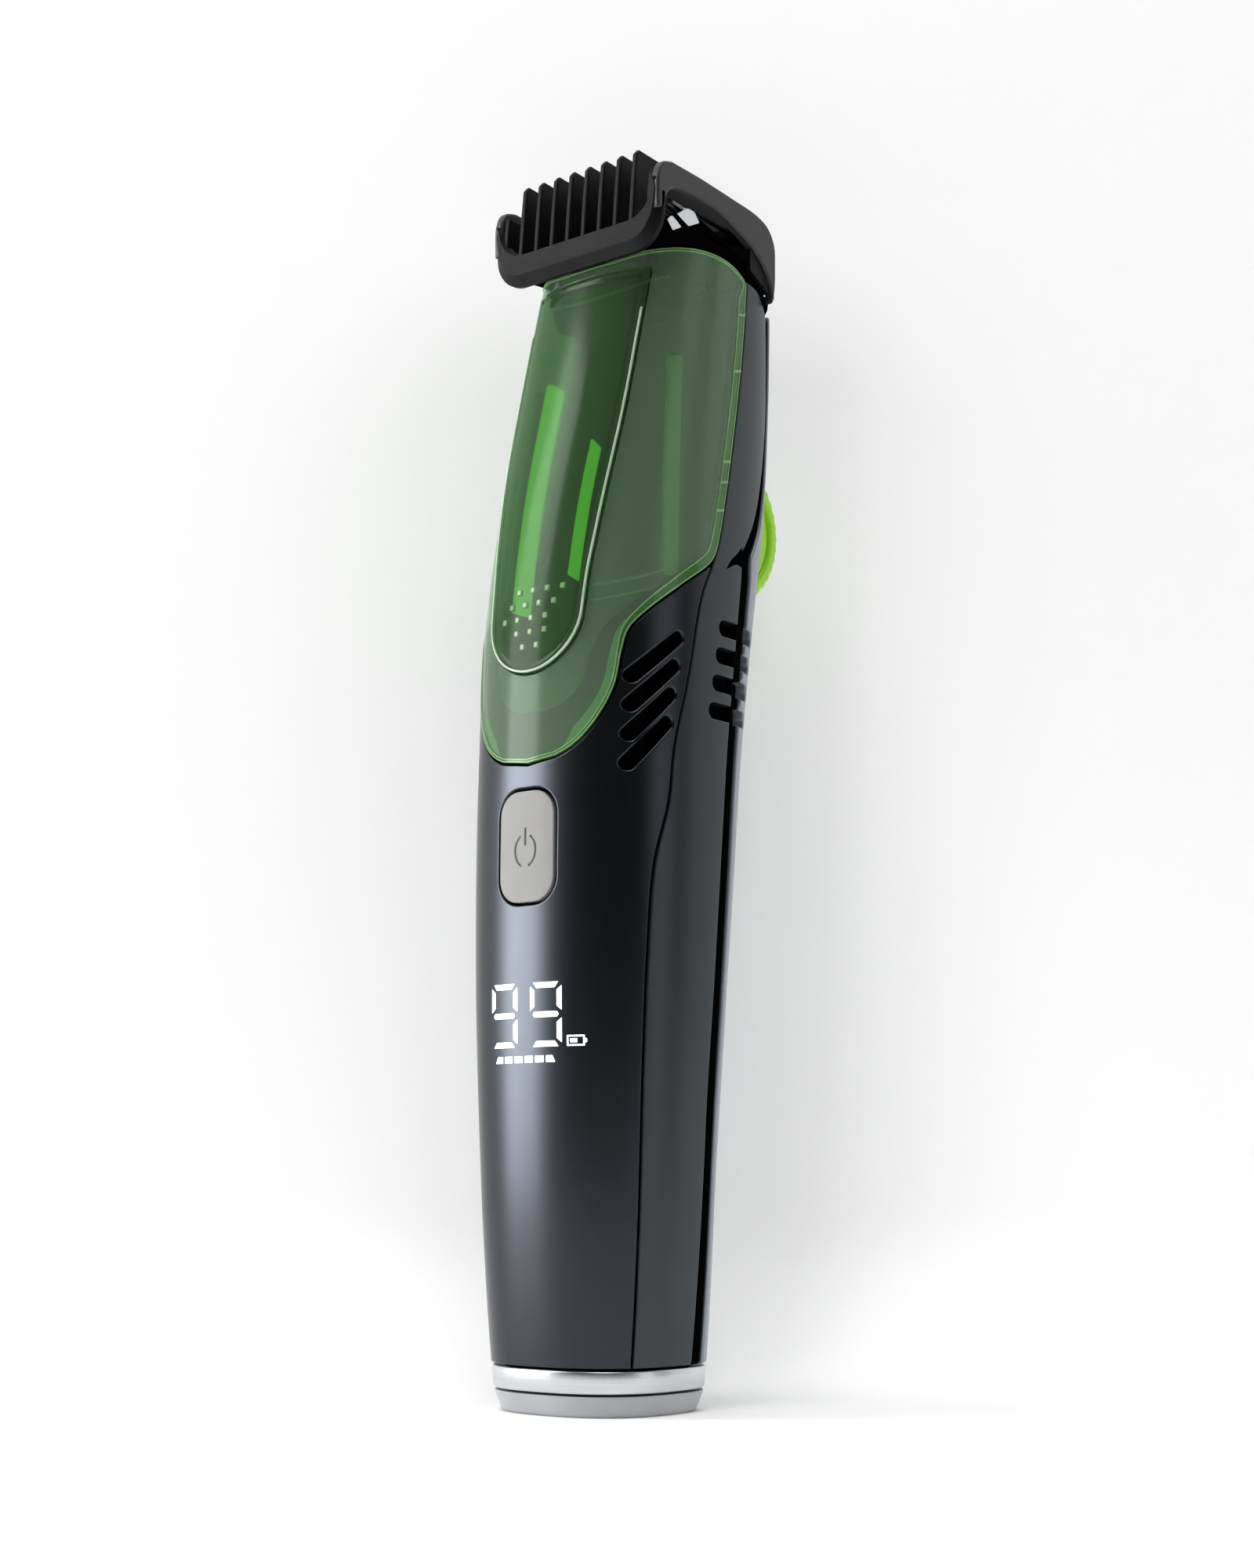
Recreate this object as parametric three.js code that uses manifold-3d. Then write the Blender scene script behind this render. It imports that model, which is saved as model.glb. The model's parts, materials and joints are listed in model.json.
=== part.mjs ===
// Vacuum beard trimmer, upright on its flat base, millimetres, +Z up.
// Front (button, display, hair chamber) faces -Y, the length wheel is at the back (+Y).
// Origin: centre of the bottom face. The body is lofted through rounded sections that lean back
// towards the head, hollowed, and split along side-view seams into the parts that clip together.
import * as THREE from 'three';
import { mergeVertices } from 'three/addons/utils/BufferGeometryUtils.js';
import Module from 'manifold-3d';

const wasm = await Module();
wasm.setup();

// ---- driving dimensions -------------------------------------------------------------------
const FRONT_POWER = 2.5;        // superellipse exponent of the front half of a section
const BACK_POWER = 3;           // and of the squarer back half
const SECTION_STEPS = 28;       // points round a section
const LEVEL_STEP = 20;          // spacing of loft levels along the length

// [height, half width, y of the widest point, y of the front, y of the back]
const SECTIONS = [
  [0, 14.9, 0, -14.4, 12.0],
  [7, 15.7, 0, -15.2, 12.4],
  [20, 16.6, 0, -16.2, 12.9],
  [35, 17.4, 0, -17.0, 13.4],
  [60, 18.7, 0.3, -17.5, 15.0],
  [80, 19.2, 1.0, -17.6, 17.1],
  [100, 19.3, 2.0, -17.3, 19.6],
  [120, 19.2, 3.5, -16.4, 23.3],
  [140, 18.6, 6.0, -13.4, 27.8],
  [160, 17.9, 9.0, -8.7, 30.2],
  [184, 17.2, 12.0, -2.4, 31.4],
];

const GAP = 0.3;                // clearance between parts that clip together
const SHELL = 1.8;              // wall of the outer panels
const CHASSIS_OUT = SHELL + GAP;
const CHASSIS_IN = 3.5;         // inner face of the inner frame
const STRIP_DEPTH = 0.5;        // how far the dark strips lie below the panels

const BASE_TOP = 7.1;           // lower edge of the panels
const RING = [3.4, 6.8];        // metal ring at the foot
const FOOT_TOP = 3.1;
const BODY_TOP = 176.5;         // top of the back panel

const BUTTON = { z: 84.2, width: 10.8, height: 17, corner: 3.8 };
const DISPLAY = { z: 57.5, x: 1, width: 20, height: 16 };
const SOCKET = { y: 6.2, width: 8.9, depth: 3.2, height: 7 };
const BATTERY = { y: 1.4, radius: 7, from: 14, to: 64, tab: 0.4 };

const FOOT_SCREW = [9.5, -4];   // x, y of the screws that hold the foot
const PILOT = 1.3;              // radius of the holes that the screws pass or bite into

const SHAFT_FOOT = [-2.36, 72]; // y, z where the drive line leaves the motor's lower end
const SHAFT_LEAN = 12;          // degrees that the drive line leans back
const MOTOR = { radius: 10, flat: 7.6, length: 24 };
const FILTER = { centre: [-1.9, 122.9], slope: 38 };
const SHAFT_RADIUS = 0.9;
const STROKE = 0.9;             // half stroke of the moving blade and throw of the eccentric
const BLADE_SCREW_X = 9.5;
const BRACKET_SCREW = [6.5, 1.4];
const MOTOR_SCREW_X = 6;

const WHEEL = { y: 22, z: 141, radius: 12.8, from: 5, to: 9.5, flutes: 24 };
const AXLE_RADIUS = 1;
const AXLE_HOLE = AXLE_RADIUS + GAP;
const PINION = { teeth: 9, module: 0.7, from: 2.1, to: 4.5 };
const COMB_LEAN = 6;            // degrees that the comb's slide leans back
const COMB_X = 17.6;            // outer face of the comb's side walls
const COMB_SLIDE = [20.2, 160]; // y, z of the middle of the comb carriage

const ACROSS = [-30, 30];       // x and y ranges that reach past the body on every side
const THROUGH = [-40, 50];
const SKIN_TOP = 184;           // the skin is cut off here, inside the comb

// ---- solids -------------------------------------------------------------------------------
function toSolid(geometry, matrix) {
  const bare = geometry.index ? geometry.toNonIndexed() : geometry.clone();
  bare.deleteAttribute('normal');
  bare.deleteAttribute('uv');
  if (matrix) bare.applyMatrix4(matrix);
  const merged = mergeVertices(bare, 1e-4);
  return new wasm.Manifold(new wasm.Mesh({
    numProp: 3,
    vertProperties: new Float32Array(merged.attributes.position.array),
    triVerts: new Uint32Array(merged.index.array),
  }));
}

function toGeometry(solid) {
  const mesh = solid.getMesh();
  const geometry = new THREE.BufferGeometry();
  geometry.setAttribute('position', new THREE.BufferAttribute(new Float32Array(mesh.vertProperties), 3));
  geometry.setIndex(new THREE.BufferAttribute(new Uint32Array(mesh.triVerts), 1));
  geometry.computeVertexNormals();
  return geometry;
}

function box(x, y, z) {
  const geometry = new THREE.BoxGeometry(x[1] - x[0], y[1] - y[0], z[1] - z[0]);
  geometry.translate((x[0] + x[1]) / 2, (y[0] + y[1]) / 2, (z[0] + z[1]) / 2);
  return toSolid(geometry);
}

// an x range given for the right, mirrored on the left (side -1)
function sided(side, [near, far]) {
  return side > 0 ? [near, far] : [-far, -near];
}

function sidedBox(side, x, y, z) {
  return box(sided(side, x), y, z);
}

function joinAll(solids) {
  return solids.reduce((a, b) => a.add(b));
}

// cylinder along X, Y or Z from one coordinate to the other, centred on the two other coordinates
function rod(axis, radius, from, to, centre, steps = 24) {
  const geometry = new THREE.CylinderGeometry(radius, radius, to - from, steps);
  const middle = (from + to) / 2;
  if (axis === 'x') geometry.rotateZ(Math.PI / 2).translate(middle, centre[0], centre[1]);
  if (axis === 'y') geometry.translate(centre[0], middle, centre[1]);
  if (axis === 'z') geometry.rotateX(Math.PI / 2).translate(centre[0], centre[1], middle);
  return toSolid(geometry);
}

function outline(points) {
  return new THREE.Shape(points.map(([a, b]) => new THREE.Vector2(a, b)));
}

const FROM_SIDE = new THREE.Matrix4().set(0, 0, 1, 0, 1, 0, 0, 0, 0, 1, 0, 0, 0, 0, 0, 1);
const FROM_FRONT = new THREE.Matrix4().set(1, 0, 0, 0, 0, 0, -1, 0, 0, 1, 0, 0, 0, 0, 0, 1);

function extrude(shape, depth, steps = 3) {
  return new THREE.ExtrudeGeometry(shape, { depth, bevelEnabled: false, curveSegments: steps });
}

// outline in (y, z) pushed along X
function sidePrism(shape, from = ACROSS[0], to = ACROSS[1]) {
  return toSolid(extrude(shape, to - from), FROM_SIDE.clone().setPosition(from, 0, 0));
}

// outline in (x, z) pushed along Y
function frontPrism(shape, from, to) {
  return toSolid(extrude(shape, to - from), FROM_FRONT.clone().setPosition(0, to, 0));
}

// outline in (x, y) pushed along Z
function topPrism(shape, from, to) {
  return toSolid(extrude(shape, to - from), new THREE.Matrix4().setPosition(0, 0, from));
}

function roundedRect(width, height, corner, x = 0, y = 0) {
  const [a, b, r] = [width / 2, height / 2, corner];
  const shape = new THREE.Shape();
  shape.absarc(x + a - r, y + b - r, r, 0, Math.PI / 2);
  shape.absarc(x - a + r, y + b - r, r, Math.PI / 2, Math.PI);
  shape.absarc(x - a + r, y - b + r, r, Math.PI, 1.5 * Math.PI);
  shape.absarc(x + a - r, y - b + r, r, 1.5 * Math.PI, 2 * Math.PI);
  return shape;
}

// slot with round ends between two points
function stadium(start, end, radius) {
  const angle = Math.atan2(end[1] - start[1], end[0] - start[0]);
  const shape = new THREE.Shape();
  shape.absarc(end[0], end[1], radius, angle - Math.PI / 2, angle + Math.PI / 2);
  shape.absarc(start[0], start[1], radius, angle + Math.PI / 2, angle + 1.5 * Math.PI);
  return shape;
}

function turned(geometryOrSolid, degrees, y, z) {
  return geometryOrSolid.rotate([-degrees, 0, 0]).translate([0, y, z]);
}

// ---- the body's lofted skin ---------------------------------------------------------------
function sectionAt(z) {
  let i = 0;
  while (i < SECTIONS.length - 2 && z > SECTIONS[i + 1][0]) i += 1;
  const [low, high] = [SECTIONS[i], SECTIONS[i + 1]];
  const span = high[0] - low[0];
  const t = (z - low[0]) / span;
  const slope = (k, column) => {
    const [p, q] = [SECTIONS[Math.max(k - 1, 0)], SECTIONS[Math.min(k + 1, SECTIONS.length - 1)]];
    return (q[column] - p[column]) / (q[0] - p[0]);
  };
  return [1, 2, 3, 4].map((c) => (2 * t ** 3 - 3 * t ** 2 + 1) * low[c]
    + (t ** 3 - 2 * t ** 2 + t) * span * slope(i, c)
    + (3 * t ** 2 - 2 * t ** 3) * high[c]
    + (t ** 3 - t ** 2) * span * slope(i + 1, c));
}

function sectionPoint(z, inset, step) {
  const [half, middle, front, back] = sectionAt(z);
  const angle = (step / SECTION_STEPS) * 2 * Math.PI;
  const [c, s] = [Math.cos(angle), Math.sin(angle)];
  const power = 2 / (s < 0 ? FRONT_POWER : BACK_POWER);
  const depth = s < 0 ? middle - front : back - middle;
  return [
    Math.sign(c) * Math.abs(c) ** power * (half - inset),
    middle + Math.sign(s) * Math.abs(s) ** power * (depth - inset),
    z,
  ];
}

// levels are [height, inset] pairs from the bottom up
function loft(levels) {
  const points = [];
  const faces = [];
  levels.forEach(([z, inset]) => {
    for (let step = 0; step < SECTION_STEPS; step += 1) points.push(...sectionPoint(z, inset, step));
  });
  const at = (level, step) => level * SECTION_STEPS + (step % SECTION_STEPS);
  for (let level = 0; level < levels.length - 1; level += 1) {
    for (let step = 0; step < SECTION_STEPS; step += 1) {
      faces.push(at(level, step), at(level, step + 1), at(level + 1, step + 1));
      faces.push(at(level, step), at(level + 1, step + 1), at(level + 1, step));
    }
  }
  const last = levels.length - 1;
  for (let step = 1; step < SECTION_STEPS - 1; step += 1) {
    faces.push(at(0, 0), at(0, step + 1), at(0, step));
    faces.push(at(last, 0), at(last, step), at(last, step + 1));
  }
  const geometry = new THREE.BufferGeometry();
  geometry.setAttribute('position', new THREE.Float32BufferAttribute(points, 3));
  geometry.setIndex(faces);
  return toSolid(geometry);
}

function bodyLoft(inset, from, to) {
  const levels = [[from, inset]];
  for (let z = 0; z < to; z += LEVEL_STEP) {
    if (z > from + 2 && z < to - 2) levels.push([z, inset]);
  }
  levels.push([to, inset]);
  return loft(levels);
}

const skin = bodyLoft(0, 0, SKIN_TOP);
const shellBand = skin.subtract(bodyLoft(SHELL, -1, SKIN_TOP + 1));

// ---- side-view seams, as (y, z) points ----------------------------------------------------
// from the tip of the front lobe, up the diagonal floor and the rear edge, to the top corner
const CHAMBER_EDGE = [
  [-24, 82.8], [-17.4, 96.9], [-16, 99.9], [-14.3, 104.3], [-13, 108.5], [-12.2, 113.4], [-11.2, 117],
  [-8.3, 120.4], [-2.7, 124.8], [4.3, 129.7], [5.8, 132.1], [11, 151.2], [14.3, 166.6], [16, 178.2],
];
const CHAMBER_TOP = [
  [15.4, 179.5], [12.5, 180.9], [7, 181.7], [1, 181.6], [-2, 181], [-3.6, 180], [-8, 177],
];
// front edge of the side panel, from the chamber's corner to the base
const FRONT_SEAM = [
  [4.6, 129.3], [1.5, 123.2], [-1.7, 110.6], [-4.8, 99], [-5.9, 90.9], [-8.4, 81.2], [-9.4, 67.1],
  [-9.6, 52], [-9.3, 30.7], [-9, 0],
];
// front edge of the dark strip, from the top down, with the pointed hook between its two runs
const STRIP_UPPER = [[23, 184], [23, 174], [22.6, 158.4], [20.8, 148.6], [17.3, 139.1], [12.9, 132.6]];
const STRIP_HOOK = [[8.3, 129.2], [12.3, 131.2]];
const STRIP_LOWER = [[11.8, 123.8], [8.1, 99.8], [4.3, 52.5], [3.8, 30.6], [2.4, 0]];
const STRIP_HOOK_ROOT = [12.3, 130.5];
const STRIP_WIDTH = 3;
const PANEL_TOP = [[16.2, 179.3], [19.8, 178.6], [22.6, 175.6], [30, 175.4]];

function movedBack(points, distance) {
  return points.map(([y, z]) => [y + distance, z]);
}

// everything behind a line that runs from the top down
function behind(points) {
  return sidePrism(outline([...points, [45, points.at(-1)[1]], [45, points[0][1]]]));
}

// the chamber's edge line moved outwards, down the slope that it runs along
function grownEdge(grow) {
  return CHAMBER_EDGE.map(([y, z]) => [y + grow * 0.75, z - grow * 0.75]);
}

// everything that the chamber fills in side view, grown by a clearance
function chamberPrism(grow) {
  const top = CHAMBER_TOP.map(([y, z]) => [y + grow * 0.5, z + grow]);
  const front = [[THROUGH[0], top.at(-1)[1]], [THROUGH[0], CHAMBER_EDGE[0][1]]];
  return sidePrism(outline([...grownEdge(grow), ...top, ...front]));
}

const stripFront = [...STRIP_UPPER, ...STRIP_HOOK, ...STRIP_LOWER];
const stripFrontPlain = [...STRIP_UPPER, STRIP_HOOK_ROOT, ...STRIP_LOWER];
const aboveBase = box(ACROSS, THROUGH, [BASE_TOP, 200]);

// everything behind the strip's front edge moved back by a distance, without its hook
function behindStrip(distance) {
  return behind(movedBack(stripFrontPlain, distance));
}

// ---- vents --------------------------------------------------------------------------------
const VENTS = 4;                // slots in each row
const VENT_PITCH = 4.5;
// ends of the top slot as [y, z], how far each end steps forwards from slot to slot, and radius
const FRONT_VENT = { low: [-11.2, 109.6], high: [-4.4, 115.6], steps: [0.25, 0.8], radius: 0.9 };
const REAR_VENT = { low: [7.2, 119.5], high: [18, 119.5], steps: [0.95, 0], radius: 1.3 };

function ventRow({ low, high, steps, radius }) {
  const slots = [];
  for (let i = 0; i < VENTS; i += 1) {
    const drop = i * VENT_PITCH;
    const start = [low[0] - i * steps[0], low[1] - drop];
    const end = [high[0] - i * steps[1], high[1] - drop];
    slots.push(sidePrism(stadium(start, end, radius)));
  }
  return slots;
}

function subtractAll(solid, cutters) {
  return cutters.reduce((left, cutter) => left.subtract(cutter), solid);
}

function wheelSlots(inner = WHEEL.from) {
  const reach = WHEEL.radius + GAP;
  const height = [WHEEL.z - reach, WHEEL.z + reach];
  return [-1, 1].map((side) => sidedBox(side, [inner - GAP, WHEEL.to + GAP], [8, 45], height));
}

// ---- outer parts --------------------------------------------------------------------------
function frontShell() {
  const { z, width, height, corner } = BUTTON;
  const button = frontPrism(roundedRect(width + 2 * 0.35, height + 2 * 0.35, corner + GAP, 0, z), -25, -8);
  const below = box(ACROSS, THROUGH, [BASE_TOP, FRONT_SEAM[0][1]]);
  const plain = shellBand.intersect(below).subtract(behind(FRONT_SEAM)).subtract(chamberPrism(GAP));
  return subtractAll(plain.subtract(button), ventRow(FRONT_VENT));
}

function sidePanel(side) {
  const half = sidedBox(side, [0, ACROSS[1]], THROUGH, [0, 200]);
  const topLine = sidePrism(outline([[10, 180], ...PANEL_TOP, [30, 190], [10, 190]]));
  const zone = shellBand.intersect(aboveBase).intersect(half);
  const front = behind(movedBack([[12.9, SKIN_TOP], ...FRONT_SEAM], GAP));
  const cutters = [behind(stripFront), chamberPrism(GAP), topLine, ...ventRow(REAR_VENT)];
  return subtractAll(zone.intersect(front), cutters);
}

function backPanel() {
  const band = shellBand.intersect(box(ACROSS, THROUGH, [BASE_TOP, BODY_TOP]));
  return subtractAll(band.intersect(behindStrip(STRIP_WIDTH)), [...wheelSlots(), ...ventRow(REAR_VENT)]);
}

// cap over the head's open top behind the comb
function rearDeck() {
  const floor = BODY_TOP + GAP;
  const side = outline([[24.4, floor], [32, floor], [32, 177.2], [27.6, 179], [24.4, 179.6]]);
  return bodyLoft(0.2, 160, SKIN_TOP).intersect(sidePrism(side));
}

// room for the charging socket, from the underside up to a height
function inletHole(top) {
  const shape = roundedRect(SOCKET.width + 2 * GAP, SOCKET.depth + 2 * GAP, 1.8, 0, SOCKET.y);
  return topPrism(shape, -1, top);
}

function footScrewHoles(top) {
  return [-1, 1].map((side) => rod('z', PILOT, -1, top, [side * FOOT_SCREW[0], FOOT_SCREW[1]], 12));
}

function baseFoot() {
  const plate = loft([[0, 1.1], [0.6, 0.6], [FOOT_TOP, 0.1]]);
  const headRooms = [-1, 1].map((side) => rod('z', 2.3, -1, 2.2, [side * FOOT_SCREW[0], FOOT_SCREW[1]], 16));
  return subtractAll(plate, [inletHole(5), ...headRooms, ...footScrewHoles(5)]);
}

function baseRing() {
  const bore = loft([[RING[0] - 1, SHELL], [RING[1] + 1, SHELL]]);
  return loft([[RING[0], 0], [RING[1], 0]]).subtract(bore);
}

// ---- inner frame, in two halves that part along the strips --------------------------------
const BULKHEAD = 1.1;           // wall of the frame under the chamber

function frameBody() {
  const hollow = bodyLoft(CHASSIS_IN, 5.6, SKIN_TOP + 1);
  const core = bodyLoft(CHASSIS_OUT, RING[0], SKIN_TOP);
  const bulkhead = core.intersect(chamberPrism(GAP + BULKHEAD));
  const top = box(ACROSS, THROUGH, [BODY_TOP - 0.5, 200]);
  const whole = core.subtract(hollow).add(bulkhead);
  return subtractAll(whole, [chamberPrism(GAP), inletHole(8), top, ...footScrewHoles(9)]);
}

const frame = frameBody();
const FRAME_SPLIT = 1.6;        // the halves meet this far behind the strips' front edges

// dark strips that stand in the gaps between the side panels and the back panel
function strips() {
  const outer = bodyLoft(STRIP_DEPTH, BASE_TOP, 174).subtract(behindStrip(STRIP_WIDTH - GAP));
  const cover = outer.subtract(bodyLoft(SHELL, 0, SKIN_TOP)).intersect(behindStrip(GAP));
  const root = outer.subtract(bodyLoft(CHASSIS_OUT + 0.4, 0, SKIN_TOP)).intersect(behindStrip(FRAME_SPLIT));
  return cover.add(root);
}

function frameFront() {
  const buttonWindow = box([-7.2, 7.2], [-20, -8], [BUTTON.z - 10.4, BUTTON.z + 10.4]);
  const displayWindow = box([DISPLAY.x - 11.4, DISPLAY.x + 11.4], [-20, -8], [DISPLAY.z - 9, DISPLAY.z + 9]);
  const filterWindow = turned(box([-10.3, 10.3], [-7.1, 7.1], [-4, 4]), -FILTER.slope, ...FILTER.centre);
  const exhaust = [-1, 1].map((side) => sidedBox(side, [5, ACROSS[1]], [-7.6, 0], [99, 112]));
  const carriageRoom = box([-12.3, 12.3], [18, 25], [150, 190]);
  const cutters = [carriageRoom, buttonWindow, displayWindow, filterWindow, ...exhaust, ...wheelSlots()];
  return subtractAll(frame.subtract(behindStrip(FRAME_SPLIT - GAP)), cutters);
}

function frameRear() {
  const block = box([-1.5, 1.5], [19.8, 26], [WHEEL.z - 2.6, WHEEL.z + 2.6]);
  const lug = block.intersect(bodyLoft(CHASSIS_OUT, RING[0], SKIN_TOP));
  const bore = rod('x', AXLE_HOLE, -3, 3, [WHEEL.y, WHEEL.z], 16);
  const exhaust = [-1, 1].map((side) => sidedBox(side, [9, ACROSS[1]], [10.5, 17.5], [104.5, 112]));
  const half = frame.intersect(behindStrip(FRAME_SPLIT));
  return subtractAll(joinAll([half, strips(), lug]), [bore, ...wheelSlots(PINION.from), ...exhaust]);
}

// ---- hair chamber -------------------------------------------------------------------------
const CHAMBER_WALL = 1.8;
// the thumb cover is a tall U: its half width at each height, above a round lower end
const THUMB_SIDE = [[10.3, 133], [11.4, 150], [11.6, 176.5]];
const THUMB_END = { z: 120.4, radius: 9.4 };
const THUMB_PROUD = 0.45;
const [THUMB_BACK, THUMB_RECESS] = [0.5, 0.8];

function thumbOutline(grow) {
  const shape = new THREE.Shape();
  shape.absarc(0, THUMB_END.z, THUMB_END.radius + grow, Math.PI, 2 * Math.PI);
  THUMB_SIDE.forEach(([x, z]) => shape.lineTo(x + grow, z));
  const top = THUMB_SIDE.at(-1);
  shape.lineTo(top[0] + grow, top[1] + grow);
  shape.lineTo(-top[0] - grow, top[1] + grow);
  THUMB_SIDE.toReversed().forEach(([x, z]) => shape.lineTo(-x - grow, z));
  return shape;
}

function chamberShell() {
  const innerZone = [...grownEdge(-1.6), [14, SKIN_TOP], [THROUGH[0], SKIN_TOP], [THROUGH[0], 84]];
  const hollow = bodyLoft(CHAMBER_WALL, 80, SKIN_TOP + 1).intersect(sidePrism(outline(innerZone)));
  const filterWindow = turned(box([-9, 9], [-5.5, 5.5], [-3, 3]), -FILTER.slope, ...FILTER.centre);
  const recessBand = bodyLoft(-2, 80, SKIN_TOP).subtract(bodyLoft(THUMB_RECESS, 80, SKIN_TOP));
  const recess = recessBand.intersect(frontPrism(thumbOutline(GAP), -30, -2));
  return subtractAll(skin.intersect(chamberPrism(0)), [hollow, filterWindow, recess]);
}

function thumbCover() {
  const plate = bodyLoft(-THUMB_PROUD, 80, SKIN_TOP).subtract(bodyLoft(THUMB_BACK, 80, SKIN_TOP));
  return plate.intersect(frontPrism(thumbOutline(0), -30, -2));
}

// ---- comb guard: front frame with tines, arched side walls, back wall and two legs ---------
const COMB_TINES = 8;
const TINE_PITCH = 3.37;
const LEG_X = [10, 11.5];
const TINE_WIDTH = 1;
const COMB_WALL = 1.6;
// side views as (y, z): the wall's outer line from the front lip, and the arch under it
const COMB_OUTER = [
  [-7, 185], [-6.9, 190.5], [-5.8, 192.8], [-3.4, 193.6], [19, 191.6], [22, 190.3], [23.7, 188.3],
  [23.6, 179.5], [22.8, 177.6], [22.2, 180.4],
];
const COMB_ARCH = [
  [21, 183], [18.6, 185.2], [14.2, 187], [9.6, 188.7], [4.1, 189.5], [-1.5, 189.5], [-3.5, 188.9],
  [-4.9, 187.2], [-5.3, 185],
];
const TINE = [
  [-7, 183.6], [-5.9, 195.8], [-5, 196.5], [20, 192.6], [22.6, 190.8], [22.4, 188.8], [3, 190.4],
  [-1.4, 190.2], [-2, 187.2], [-3.8, 184.4], [-5, 183.4],
];

function combGuard() {
  const sideShape = outline([...COMB_OUTER, ...COMB_ARCH]);
  const walls = [-1, 1].map((side) => sidePrism(sideShape, ...sided(side, [COMB_X - COMB_WALL, COMB_X])));
  const lip = frontPrism(roundedRect(2 * COMB_X, 14.6, 5.8, 0, 186.4), -7, -5.3)
    .subtract(frontPrism(roundedRect(2 * COMB_X - 3.6, 14, 4.6, 0, 191.6), -8, -4));
  const post = box([-COMB_X, COMB_X], [-7.1, -5.2], [192.8, 195]);
  const back = box([-COMB_X + 0.8, COMB_X - 0.8], [21.9, 23.6], [184, 189.4]);
  const rearBar = box([-COMB_X + 0.8, COMB_X - 0.8], [18.4, 22.8], [188.9, 190.6]);
  const tines = [];
  for (let i = 0; i < COMB_TINES; i += 1) {
    const x = (i - (COMB_TINES - 1) / 2) * TINE_PITCH;
    tines.push(sidePrism(outline(TINE), x - TINE_WIDTH / 2, x + TINE_WIDTH / 2));
  }
  const legs = [-1, 1].flatMap((side) => [
    sidedBox(side, [LEG_X[0], COMB_X - 0.4], [20.9, 23.5], [180.2, 182.6]),
    turned(sidedBox(side, LEG_X, [-1.3, 1.3], [3.6, 22]), COMB_LEAN, ...COMB_SLIDE),
  ]);
  return joinAll([lip.subtract(post), ...walls, back, rearBar, ...tines, ...legs]);
}

// ---- comb carriage: crossbar, two uprights that hold the comb's legs, and the rack ---------
const RACK_PITCH = Math.PI * PINION.module;
const RACK_TEETH = [-5, 1];     // rack teeth below and above the wheel's axis at rest
const PITCH_RADIUS = PINION.teeth * PINION.module / 2;
const lean = THREE.MathUtils.degToRad(COMB_LEAN);
// y, z of the point where the rack's pitch line touches the pinion's pitch circle
const MESH_POINT = [WHEEL.y - PITCH_RADIUS * Math.cos(lean), WHEEL.z + PITCH_RADIUS * Math.sin(lean)];

function combCarriage() {
  const [near, far] = [LEG_X[0] - 0.4, LEG_X[1] + 0.4];
  const cross = box([-far, far], [-1.35, 1.35], [-3, 0.3]);
  const cups = [-1, 1].map((side) => sidedBox(side, [near, far], [-1.35, 1.35], [-3, 3.2]));
  const bar = turned(joinAll([cross, ...cups]), COMB_LEAN, ...COMB_SLIDE);
  return joinAll([bar, rack(-1), rack(1)]);
}

function rack(side) {
  const teeth = [];
  for (let i = RACK_TEETH[0]; i <= RACK_TEETH[1]; i += 1) {
    const z = i * RACK_PITCH;
    const shape = outline([[-0.9, z - 0.62], [0.42, z - 0.2], [0.42, z + 0.2], [-0.9, z + 0.62]]);
    teeth.push(sidePrism(shape, ...sided(side, [PINION.from, PINION.to])));
  }
  const foot = RACK_TEETH[0] * RACK_PITCH - 1;
  const strip = sidedBox(side, [PINION.from, PINION.to], [-2.1, -0.8], [foot, 17.5]);
  return turned(joinAll([strip, ...teeth]), COMB_LEAN, ...MESH_POINT);
}

// gear with a tooth gap facing the rack's middle tooth
function wheelPinion() {
  const shape = new THREE.Shape();
  const step = (2 * Math.PI) / PINION.teeth;
  const profile = [
    [PITCH_RADIUS - 0.8, -0.3], [PITCH_RADIUS, -0.16], [PITCH_RADIUS + 0.5, -0.07],
    [PITCH_RADIUS + 0.5, 0.07], [PITCH_RADIUS, 0.16], [PITCH_RADIUS - 0.8, 0.3],
  ];
  for (let i = 0; i < PINION.teeth; i += 1) {
    const middle = Math.PI + (i + 0.5) * step;
    profile.forEach(([r, a], k) => {
      const point = [r * Math.cos(middle + a), r * Math.sin(middle + a)];
      if (i === 0 && k === 0) shape.moveTo(...point);
      else shape.lineTo(...point);
    });
  }
  const half = (PINION.to - PINION.from) / 2;
  const gear = sidePrism(shape, -half, half);
  return turned(gear.subtract(rod('x', AXLE_HOLE, -5, 5, [0, 0], 12)), COMB_LEAN, 0, 0);
}

function wheelDisc() {
  const shape = new THREE.Shape();
  const step = (2 * Math.PI) / WHEEL.flutes;
  for (let i = 0; i < WHEEL.flutes; i += 1) {
    [[WHEEL.radius, 0], [WHEEL.radius, 0.55], [WHEEL.radius - 0.5, 0.78]].forEach(([r, part], k) => {
      const point = [r * Math.cos((i + part) * step), r * Math.sin((i + part) * step)];
      if (i === 0 && k === 0) shape.moveTo(...point);
      else shape.lineTo(...point);
    });
  }
  const half = (WHEEL.to - WHEEL.from) / 2;
  return sidePrism(shape, -half, half).subtract(rod('x', AXLE_HOLE, -5, 5, [0, 0], 12));
}

// ---- cutting unit -------------------------------------------------------------------------
const BLADE_TEETH = 26;
const BLADE_SLOPE = 15;         // degrees that the blades fall towards the back

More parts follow.
